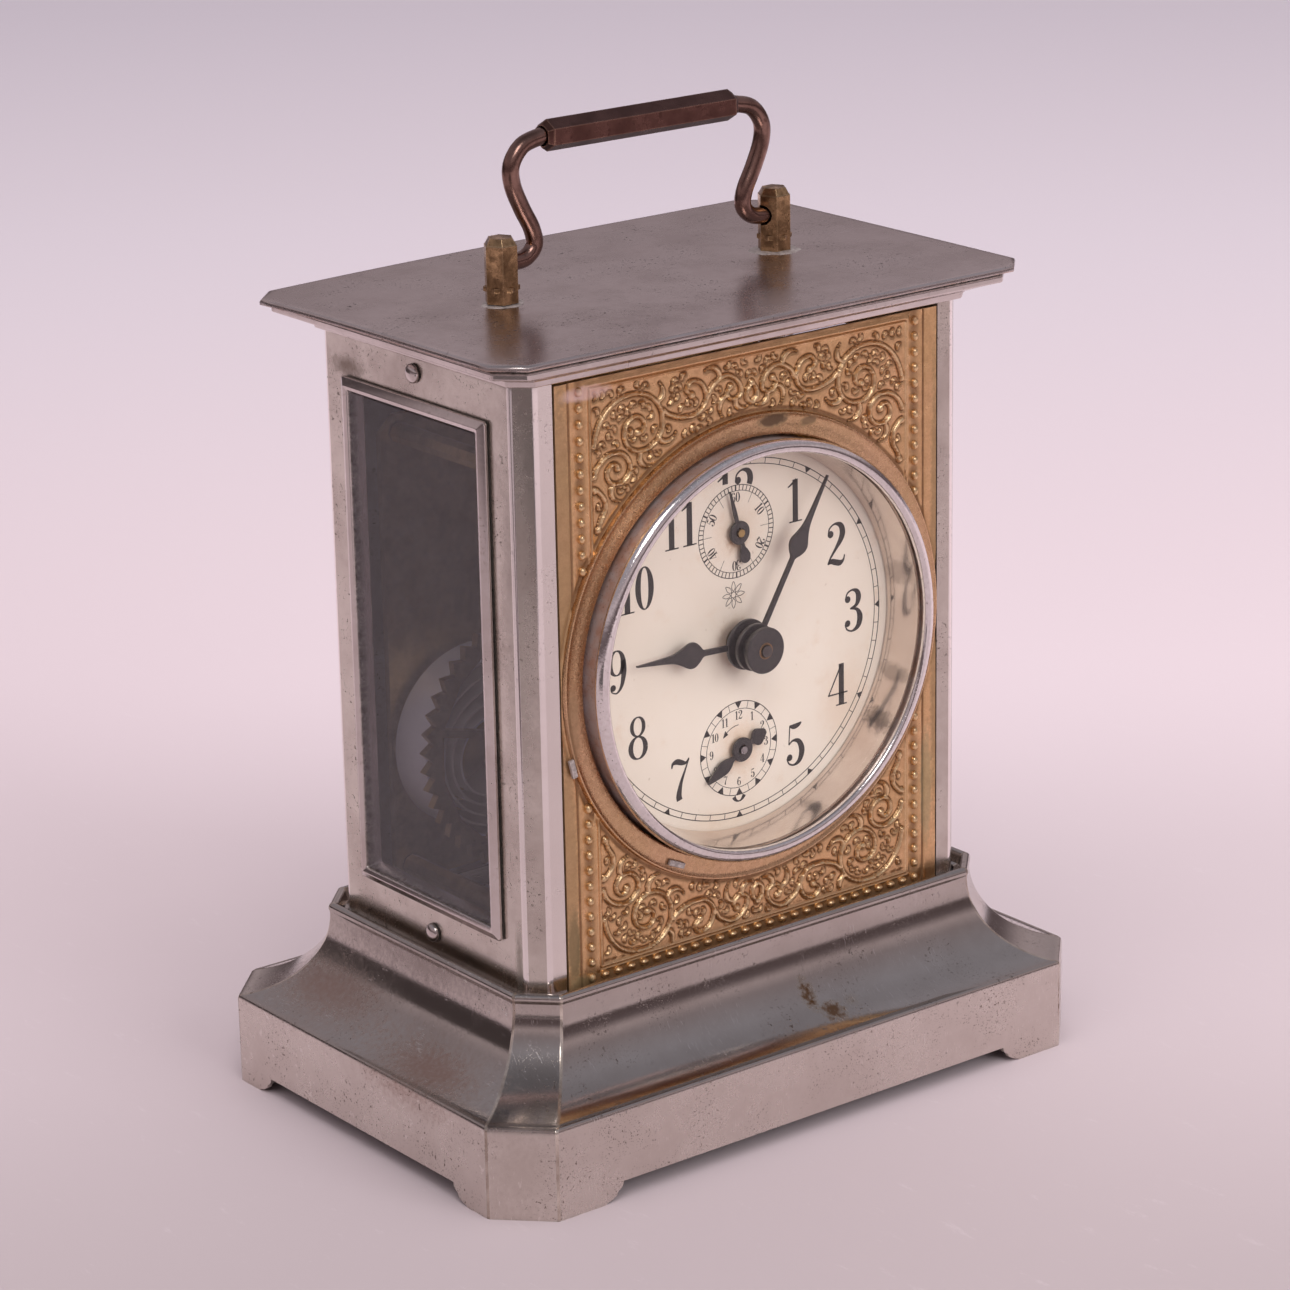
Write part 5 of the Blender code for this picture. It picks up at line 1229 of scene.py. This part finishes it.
# A figure is ovals, strokes and balls, in hundredths of its height. Bars part the strokes, spaces their
# points, and a point is x,height,width. An oval is x,height,half width,half height,stroke width.
FIGURES = {
    "0": ("25,50,18,48,15", "", ""),
    "1": ("", "27,0,15 27,50,15 27,99,15 | 9,1.5,3 28,1.5,3 46,1.5,3 | 30,98.5,5 18,90,5 6,83,3", ""),
    "2": (
        "",
        "6,74,3 10,90,4 25,98.5,5 42,93,13 48,77,16 43,60,14 28,40,8 12,20,5 5,6,4"
        " | 5,8,5 15,12,12 28,8,14 40,5,13 50,10,6 54,22,3",
        "13,76,8.5",
    ),
    "3": (
        "",
        "6,78,3 12,93,4 27,98.5,5 41,92,12 45,77,15 38,61,9 20,55,3"
        " | 20,55,3 40,50,8 49,32,16 44,11,13 27,1.5,5 11,7,4 5,20,3",
        "13,78,8 12.5,21,8",
    ),
    "4": (
        "",
        "40,0,15 40,50,15 40,99,15 | 40,97,4 21,63,3.5 2,29,3"
        " | 0,28.5,3.5 30,28.5,3.5 58,28.5,3.5 | 24,1.5,3 40,1.5,3 56,1.5,3",
        "",
    ),
    "5": (
        "",
        "12,96,5 25,93,12 38,95,10 47,99.5,3 | 13,97,3 11.5,75,3 10,52,3"
        " | 10,52,3 22,60,5 39,55,12 48,33,16 41,10,12 25,1.5,5 10,7,4 4,20,3",
        "12,21,8",
    ),
    "7": (
        "",
        "3,82,3 6,92,7 18,95,13 32,90,12 43,88,6 52,97,3 | 52,97,3 40,70,5 28,42,9 22,15,15 24,3,16",
        "",
    ),
    "8": ("27,76,16.5,22,10 27,27,20.5,25.5,13", "", ""),
    "9": ("26,70,18,28,13", "44,74,14 45.5,48,14 39,17,9 26,2,4 13,5,3 9,13,3", "15,15,7.5"),
}
FIGURE_WIDTHS = {"1": 0.50, "4": 0.58}
USUAL_WIDTH = 0.54


def oval(x, y, half_x, half_y, side):
    """A closed oval stroke whose sides are heavy and whose top and foot are thin."""
    line = []
    for angle in (2 * math.pi * i / 32 for i in range(33)):
        width = THIN + (side - THIN) * abs(math.cos(angle)) ** 1.5
        line.append((x + half_x * math.cos(angle), y + half_y * math.sin(angle), width))
    return line


def points_of(text):
    return [tuple(float(value) / 100 for value in point.split(",")) for point in text.split()]


def figure_lines(figure):
    """A figure's strokes and balls. A six is a nine on its head."""
    if figure == "6":
        return [[(0.52 - x, 1 - y, w) for x, y, w in line] for line in figure_lines("9")]
    ovals, strokes, balls = FIGURES[figure]
    lines = [oval(*numbers) for numbers in points_of(ovals)]
    lines += [smooth_line(points_of(stroke), 7) for stroke in strokes.split("|") if stroke]
    return lines + [points_of(balls)]


def outside(line, clear):
    """The runs of a stroke that lie outside a small dial, given as (height, radius)."""
    if clear is None:
        return [line]
    runs = [[]]
    for point in line:
        if math.hypot(point[0], point[1] - clear[0]) > clear[1]:
            runs[-1].append(point)
        elif runs[-1]:
            runs.append([])
    return [run for run in runs if len(run) > 1]


def number(text, x, height, size, turn=0.0, clear=None):
    """Figures centred at a place, each stroke a thin raised print, cut off where a small dial lies."""
    widths = [FIGURE_WIDTHS.get(figure, USUAL_WIDTH) for figure in text]
    cursor = -sum(widths) / 2
    c, s = math.cos(math.radians(turn)), math.sin(math.radians(turn))
    parts = []

    def placed(u, v):
        u, v = u * size, (v - 0.5) * size
        return x + u * c + v * s, height + v * c - u * s

    for figure, width in zip(text, widths):
        *strokes, balls = figure_lines(figure)
        for stroke in strokes:
            line = [(*placed(cursor + u, v), w * size) for u, v, w in stroke]
            parts += [ribbon(run, *INKED) for run in outside(line, clear)]
        for u, v, radius in balls:
            place = placed(cursor + u, v)
            if outside([place, place], clear):
                parts.append(prism(disc_outline(radius * size, 16, *place), *INKED))
        cursor += width
    return parts


def track(radius, width, height=0.0, segments=160):
    """A thin printed circle."""
    low, high = INKED
    inner, outer = radius - width / 2, radius + width / 2
    points, faces = lathe([(inner, low), (inner, high), (outer, high), (outer, low)], segments)
    return [(x, h + height, d) for x, h, d in points], faces


def tick(degrees, start, end, width, height=0.0):
    places = [clockwise(radius, degrees) for radius in (start, (start + end) / 2, end)]
    return ribbon([(x, h + height, width) for x, h in places], *INKED)


def triangle(degrees, outer, inner, half_degrees, height=0.0):
    corners = [clockwise(outer, degrees - half_degrees), clockwise(outer, degrees + half_degrees)]
    corners.append(clockwise(inner, degrees))
    return prism([(x, h + height) for x, h in corners], *INKED)


def rosette(x, height, size):
    """A plain flower of eight thin petals."""
    petal = ((0.25, 0.0), (0.45, 0.14), (0.7, 0.15), (1.0, 0.0), (0.7, -0.15), (0.45, -0.14), (0.25, 0.0))
    parts = []
    for angle in range(0, 360, 45):
        line = []
        for share, swell in petal:
            u, v = clockwise(size * share, angle)
            nx, nh = clockwise(size * swell, angle + 90)
            line.append((x + u + nx, height + v + nh, 0.10))
        parts.append(ribbon(smooth_line(line, 4), *INKED))
    angles = [k / 8 * math.pi for k in range(17)]
    circle = [(x + 0.5 * math.cos(angle), height + 0.5 * math.sin(angle), 0.10) for angle in angles]
    return parts + [ribbon(circle, *INKED)]


def make_dial():
    profile = [(2.4, DIAL_BACK), (2.4, DIAL_FACE - 0.03), (2.45, DIAL_FACE)]
    profile += [(DIAL_RADIUS - 0.03, DIAL_FACE), (DIAL_RADIUS, DIAL_FACE - 0.05), (DIAL_RADIUS, DIAL_BACK)]
    redraw("dial", front(lathe(profile, 160)), PAPER)

    parts = [track(29.75, 0.13), track(30.75, 0.15)]
    parts += [tick(6 * k, 29.75, 30.75, 0.11) for k in range(60) if k % 5]
    parts += [triangle(30 * k, 30.85, 29.8, 1.35) for k in range(12)]
    radii = {1: 24.9, 2: 24.5, 3: 24.9, 4: 24.9, 5: 24.1, 7: 24.8, 8: 24.3, 9: 25.0, 10: 24.5, 11: 24.8}
    for hour, radius in radii.items():
        x, height = clockwise(radius, 30 * hour + (1.9 if hour in (10, 11) else 0.0))
        parts += number(str(hour), x, height, FIGURE_HEIGHT)
    parts += number("12", -0.3, 25.3, FIGURE_HEIGHT, clear=(SECONDS_Z, 8.05))
    parts += number("6", 0.0, -24.5, FIGURE_HEIGHT, clear=(ALARM_Z, 8.35))

    parts += [track(7.85, 0.13, SECONDS_Z, 90), track(6.9, 0.10, SECONDS_Z, 90)]
    parts += [tick(6 * k, 6.9, 7.85, 0.28 if k % 10 == 0 else 0.15, SECONDS_Z) for k in range(60)]
    parts += [tick(30 + 60 * k, 5.15, 6.9, 0.06, SECONDS_Z) for k in range(6)]
    for k, text in enumerate(("60", "10", "20", "30", "40", "50")):
        x, height = clockwise(5.8, 60 * k)
        parts += number(text, x, height + SECONDS_Z, 1.75, 60 * k)

    parts += [track(8.15, 0.13, ALARM_Z, 90), track(6.85, 0.10, ALARM_Z, 90)]
    parts += [triangle(30 * k, 8.15, 6.95, 5.0, ALARM_Z) for k in range(12)]
    parts += [tick(15 + 30 * k, 6.85, 8.15, 0.08, ALARM_Z) for k in range(12)]
    for hour in range(1, 13):
        x, height = clockwise(5.8, 30 * hour)
        parts += number(str(hour), x, height + ALARM_Z, 1.5)
    arc = [clockwise(4.1, -3 * k) for k in range(14)]
    parts.append(ribbon([(x, h + ALARM_Z, 0.12) for x, h in arc], *INKED))
    head = [clockwise(4.6, -38), clockwise(3.6, -38), clockwise(4.1, -54)]
    parts.append(prism([(x, h + ALARM_Z) for x, h in head], *INKED))
    parts += rosette(-0.7, 8.0, 2.3)
    add("dial_print", front(joined(*parts)), PRINT, "case", 30)


# -------------------------------------------------------------------- hands
def blade(sides, angle, near, far):
    """A pointer from (distance, half width) pairs along its length."""
    fine = smooth_line(sides, 6)
    outline = [(half, away) for away, half in fine] + [(-half, away) for away, half in fine[::-1]]
    return prism(turned(outline, angle), near, far)


def collar(radius, near, far, bore, segments=64):
    """A flat round collar with softened rims."""
    soft = min(0.12, (far - near) / 3)
    rims = [(bore, near), (radius - soft, near), (radius, near + soft)]
    return lathe(rims + [(radius, far - soft), (radius - soft, far), (bore, far)], segments)


def make_hand(node, parts, height=0.0, soft=0.07):
    round_edges(redraw(node, front(joined(*parts), height), BLACK, 40), soft, 2)


def make_hands():
    near, far = depths("hour_hand")
    spade = [(3.2, 0.5), (8.2, 0.5), (9.3, 0.62), (10.0, 1.35), (11.0, 2.1), (12.2, 2.15)]
    spade += [(13.6, 1.5), (15.2, 0.85), (17.5, 0.52), (23.0, 0.13)]
    make_hand("hour_hand", [blade(spade, HOUR_ANGLE, near + 0.1, far - 0.1), collar(4.3, near, far, 2.3)])

    low, high = depths("minute_hand")
    spade = [(3.2, 0.46), (14.5, 0.40), (15.9, 0.5), (16.7, 1.2), (17.7, 1.8), (18.7, 1.85), (20.0, 1.25)]
    spade += [(21.6, 0.68), (24.0, 0.42), (30.6, 0.13)]
    collars = [(4.0, low, low + 0.8), (2.9, low + 0.7, high - 0.7), (3.9, high - 0.9, high)]
    blades = [blade(spade, MINUTE_ANGLE, 28.2, 28.7)]
    make_hand("minute_hand", blades + [collar(*sizes, 1.35) for sizes in collars])
    profile = ((1.05, -0.5), (1.4, -0.5), (1.4, 0.02), (1.3, 0.1), (1.1, 0.1), (1.05, 0.0))
    bush = lathe([(radius, high + rise) for radius, rise in profile], 40)
    add("minute_hand_bush", front(bush), POST_BRASS, "minute_arbor", 40)

    near, far = depths("alarm_hand")
    pointer = [(1.2, 0.30), (4.0, 0.34), (7.5, 0.10)]
    tail = [(1.2, 0.42), (2.6, 0.40), (3.3, 0.75), (4.3, 1.05), (5.2, 0.75), (5.5, 0.2)]
    blades = [(pointer, SECONDS_ANGLE), (tail, SECONDS_ANGLE + math.pi)]
    parts = [blade(sides, angle, near + 0.1, far - 0.1) for sides, angle in blades]
    make_hand("seconds_hand", parts + [collar(2.0, near, far, 0.85, 40)], SECONDS_Z, 0.05)

    pointer = [(1.2, 0.5), (2.4, 0.42), (3.4, 0.95), (4.6, 1.2), (6.2, 0.85), (8.6, 0.10)]
    tail = [(1.2, 0.5), (2.3, 0.5), (3.0, 1.3), (3.8, 1.5), (4.8, 0.9), (5.5, 0.35)]
    blades = [(pointer, ALARM_ANGLE), (tail, ALARM_TAIL_ANGLE)]
    parts = [blade(sides, angle, near + 0.1, far - 0.1) for sides, angle in blades]
    make_hand("alarm_hand", parts + [collar(2.1, near, far, 0.85, 40)], ALARM_Z, 0.05)


# -------------------------------------------------------------------- tabs, spring, back and movement
def make_tab(name, x, height, half_x, half_z, degrees):
    """A bent tab that holds the bezel."""
    corners = [(-half_x, -half_z), (half_x, -half_z), (half_x, half_z), (-half_x, half_z)]
    outline = turned(corners, math.radians(degrees))
    plate = prism([(px + x, ph + height) for px, ph in outline], FACE + 0.5, FACE + 1.1)
    round_edges(add(name, front(plate), SOLDER, "case"), 0.12, 2)


def make_mainspring():
    """The big flat spring, wound in a smooth spiral whose inner turns lie towards its arbor."""
    low, high = box_mm("time_mainspring")
    outer = (high.z - low.z) / 2
    centre = Vector((low.x + outer, (low.z + high.z) / 2))
    turns, steps = 5, 96
    line = []
    for share in (i / (turns * steps) for i in range(turns * steps + 1)):
        angle = 0.3 + 2 * math.pi * turns * share
        reach = outer - 0.25 - (outer - 6.0) * share
        x = centre.x - 2.4 * share + reach * math.cos(angle)
        line.append((x, centre.y - DIAL_Z - 1.8 * share + reach * math.sin(angle), 0.4))
    coil = front(ribbon(line, *depths("time_mainspring")))
    spring = add("time_mainspring_finished", coil, COIL_STEEL, "case")
    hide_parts("time_mainspring")


def dress_the_rest():
    """Rounded copies of what shows at the back and below, and better skins for the movement."""
    soft = {
        "back_panel": (NICKEL_BACK, 0.12),
        "case_floor": (CUT_STEEL, 0.15),
        "hand_set_knob": (KEY_BRASS, 0.25),
        "time_key": (KEY_BRASS, 0.22),
        "alarm_key": (KEY_BRASS, 0.22),
        "regulator": (CUT_STEEL, 0.10),
        "alarm_stop_lever": (CUT_STEEL, 0.12),
        "time_winding_arbor": (CUT_STEEL, 0.10),
        "alarm_winding_arbor": (CUT_STEEL, 0.10),
    }
    for node, (material, width) in soft.items():
        soft_copy(node, material, width, 2)
    for thing in frame["nodes"].values():
        if not thing.hide_render:
            for slot in thing.material_slots:
                slot.material = MATERIAL_OF_SLOT[slot.material.name.split(".")[0]]


# -------------------------------------------------------------------- stage, light, camera
# Painted light falloff: shades of the floor by how far towards the camera a place lies, darker nearer the
# camera.
FLOOR_LIGHT_FALLOFF = (
    (-1200, (0.88, 0.80, 0.86)),
    (-700, (0.88, 0.79, 0.84)),
    (-220, (0.85, 0.72, 0.75)),
    (-40, (0.68, 0.575, 0.595)),
    (110, (0.48, 0.405, 0.415)),
)
# Shades of the room by the height of a direction, from -1 straight down to 1 straight up.
WORLD_SHADES = (
    (-1.0, (0.62, 0.54, 0.57)),
    (-0.04, (0.30, 0.25, 0.26)),
    (0.03, (0.11, 0.08, 0.085)),
    (0.16, (0.16, 0.125, 0.135)),
    (0.29, (0.52, 0.435, 0.46)),
    (0.45, (0.33, 0.285, 0.31)),
    (0.75, (0.35, 0.34, 0.39)),
    (1.0, (0.16, 0.155, 0.175)),
)
HORIZON_SHADE = (0.62, 0.54, 0.60)
FLOOR_REACH = 4000.0
CAMERA_AZIMUTH, CAMERA_ELEVATION = math.radians(-37.681), math.radians(18.008)
CAMERA_ROLL = math.radians(-1.116)
CAMERA_TARGET = Vector((0.402, 1.501, 73.717))
CAMERA_DISTANCE = 724.174
CAMERA_LENS = 119.24
TOWARDS_CAMERA = Vector((math.sin(CAMERA_AZIMUTH), -math.cos(CAMERA_AZIMUTH), 0))


def away_from_clock(azimuth, elevation):
    """A direction from the clock, by radians round from the front and up."""
    level = math.cos(elevation)
    return Vector((math.sin(azimuth) * level, -math.cos(azimuth) * level, math.sin(elevation)))


def floor_material():
    """A pale, faintly scuffed paper sweep, with the soft light's falloff painted into its colour."""
    paint = Paint("pale_floor")
    along = paint.vector("DOT_PRODUCT", paint.place, TOWARDS_CAMERA)
    colour = FLOOR_LIGHT_FALLOFF[0][1]
    for (start, _), (end, shade) in zip(FLOOR_LIGHT_FALLOFF, FLOOR_LIGHT_FALLOFF[1:]):
        colour = paint.blend(paint.step(along, start, end), colour, shade)
    scuff = paint.patches(0.35, 6.0, 0.75, 3.0, 0.60, 0.72, stretch=(1, 0.3, 1))
    colour = paint.blend(paint.times(scuff, 0.10), colour, (0.93, 0.86, 0.88))
    return paint.done(paint.principled(colour, 0.85))


def make_card(name, corners, material):
    """A flat piece of the stage with four corners."""
    mesh = raw_mesh(name, (corners, [[0, 1, 2, 3]]))
    mesh.materials.append(material)
    card = put(name, mesh)
    return card


def make_flags():
    """Dark cards that only the polished metal sees, painted dark reflections of the shaded room: one on the
    floor in front, one behind on the left.
    """
    side = Vector((-TOWARDS_CAMERA.y, TOWARDS_CAMERA.x, 0))
    places = ((340, -260), (340, 20), (900, 20), (900, -260))
    lift = Vector((0, 0, 0.6))
    corners = {"flag_floor": [TOWARDS_CAMERA * along + side * across + lift for along, across in places]}
    away, wide = Vector((-0.66, 0.75, 0)), Vector((0.75, 0.66, 0))
    places = ((-260, 20), (420, 20), (420, 250), (-260, 250))
    corners["flag_back"] = [away * 720 + wide * across + Vector((0, 0, z)) for across, z in places]
    for name, places in corners.items():
        flag = make_card(name, places, FLAG_BLACK)
        flag.visible_camera = False
        flag.visible_diffuse = False
        flag.visible_shadow = False


def make_world():
    """A room that is pale where it is seen, and darker than the floor where the metal mirrors it."""
    world = bpy.data.worlds.new("soft_room")
    bpy.context.scene.world = world
    world.use_nodes = True
    tree = world.node_tree
    tree.nodes.clear()
    kinds = ("TexCoord", "SeparateXYZ", "MapRange", "ValToRGB", "Background", "LightPath", "MixShader")
    nodes = {kind: tree.nodes.new(f"ShaderNode{kind}") for kind in kinds}
    pale = tree.nodes.new("ShaderNodeBackground")
    pale.inputs["Color"].default_value = (*HORIZON_SHADE, 1.0)
    output = tree.nodes.new("ShaderNodeOutputWorld")
    nodes["MapRange"].inputs["From Min"].default_value = -1.0
    for start, exit_name, end in (
        (nodes["TexCoord"], "Generated", nodes["SeparateXYZ"].inputs[0]),
        (nodes["SeparateXYZ"], "Z", nodes["MapRange"].inputs["Value"]),
        (nodes["MapRange"], "Result", nodes["ValToRGB"].inputs[0]),
        (nodes["ValToRGB"], "Color", nodes["Background"].inputs["Color"]),
        (nodes["LightPath"], "Is Camera Ray", nodes["MixShader"].inputs[0]),
        (nodes["Background"], "Background", nodes["MixShader"].inputs[1]),
        (pale, "Background", nodes["MixShader"].inputs[2]),
        (nodes["MixShader"], "Shader", output.inputs["Surface"]),
    ):
        tree.links.new(start.outputs[exit_name], end)
    elements = nodes["ValToRGB"].color_ramp.elements
    elements.remove(elements[1])
    for index, (height, shade) in enumerate(WORLD_SHADES):
        element = elements.new((height + 1) / 2) if index else elements[0]
        element.position = (height + 1) / 2
        element.color = (*shade, 1.0)


def area_light(name, azimuth, elevation, distance, size, power, colour, seen=False):
    """A square soft light that aims at the clock. Only a light that is seen shows in polished metal."""
    data = bpy.data.lights.new(name, "AREA")
    data.size = size
    data.energy = power
    data.color = colour
    light = put(name, data)
    away = away_from_clock(math.radians(azimuth), math.radians(elevation))
    light.location = Vector((0, 0, 0.08)) + away * distance
    light.rotation_mode = "QUATERNION"
    light.rotation_quaternion = away.to_track_quat("Z", "Y")
    light.visible_glossy = seen
    light.visible_camera = False


def make_lights():
    area_light("overhead", 0, 88, 1.5, 1.6, 13.0, (1.0, 0.95, 0.97))
    area_light("left_front", -75, 40, 1.5, 1.1, 4.5, (1.0, 0.95, 0.96))
    area_light("key", -32, 46, 1.5, 0.5, 4.0, (1.0, 0.97, 0.97), seen=True)
    area_light("right_front", 45, 34, 1.5, 1.1, 2.5, (1.0, 0.95, 0.94))
    area_light("dial_front", 6, 20, 1.4, 0.9, 11.0, (0.98, 0.985, 1.01))


def make_camera():
    back = away_from_clock(CAMERA_AZIMUTH, CAMERA_ELEVATION)
    level = Vector((math.cos(CAMERA_AZIMUTH), math.sin(CAMERA_AZIMUTH), 0))
    upright = back.cross(level)
    right = level * math.cos(CAMERA_ROLL) + upright * math.sin(CAMERA_ROLL)
    up = upright * math.cos(CAMERA_ROLL) - level * math.sin(CAMERA_ROLL)
    data = bpy.data.cameras.new("camera")
    data.lens = CAMERA_LENS
    data.sensor_width = 36.0
    data.clip_start, data.clip_end = 0.01, 20.0
    camera = put("camera", data)
    turn = Matrix((right, up, back)).transposed().to_4x4()
    camera.matrix_world = Matrix.Translation((CAMERA_TARGET + back * CAMERA_DISTANCE) * MM) @ turn
    bpy.context.scene.camera = camera
    bpy.context.scene.view_settings.view_transform = "Standard"


make_base()
make_lid()
make_handle()
make_sides()
make_panel()
make_ring()
make_beads()
make_bezel()
make_dial()
make_hands()
make_tab("bezel_tab_left", -38.2, -12.1, 0.5, 1.6, -14)
make_tab("bezel_tab_low", -17.6, -33.4, 1.7, 0.5, 24)
make_mainspring()
dress_the_rest()
floor_corners = ((-1, -1), (1, -1), (1, 1), (-1, 1))
make_card("floor", [(x * FLOOR_REACH, y * FLOOR_REACH, 0) for x, y in floor_corners], floor_material())
make_flags()
make_world()
make_lights()
make_camera()
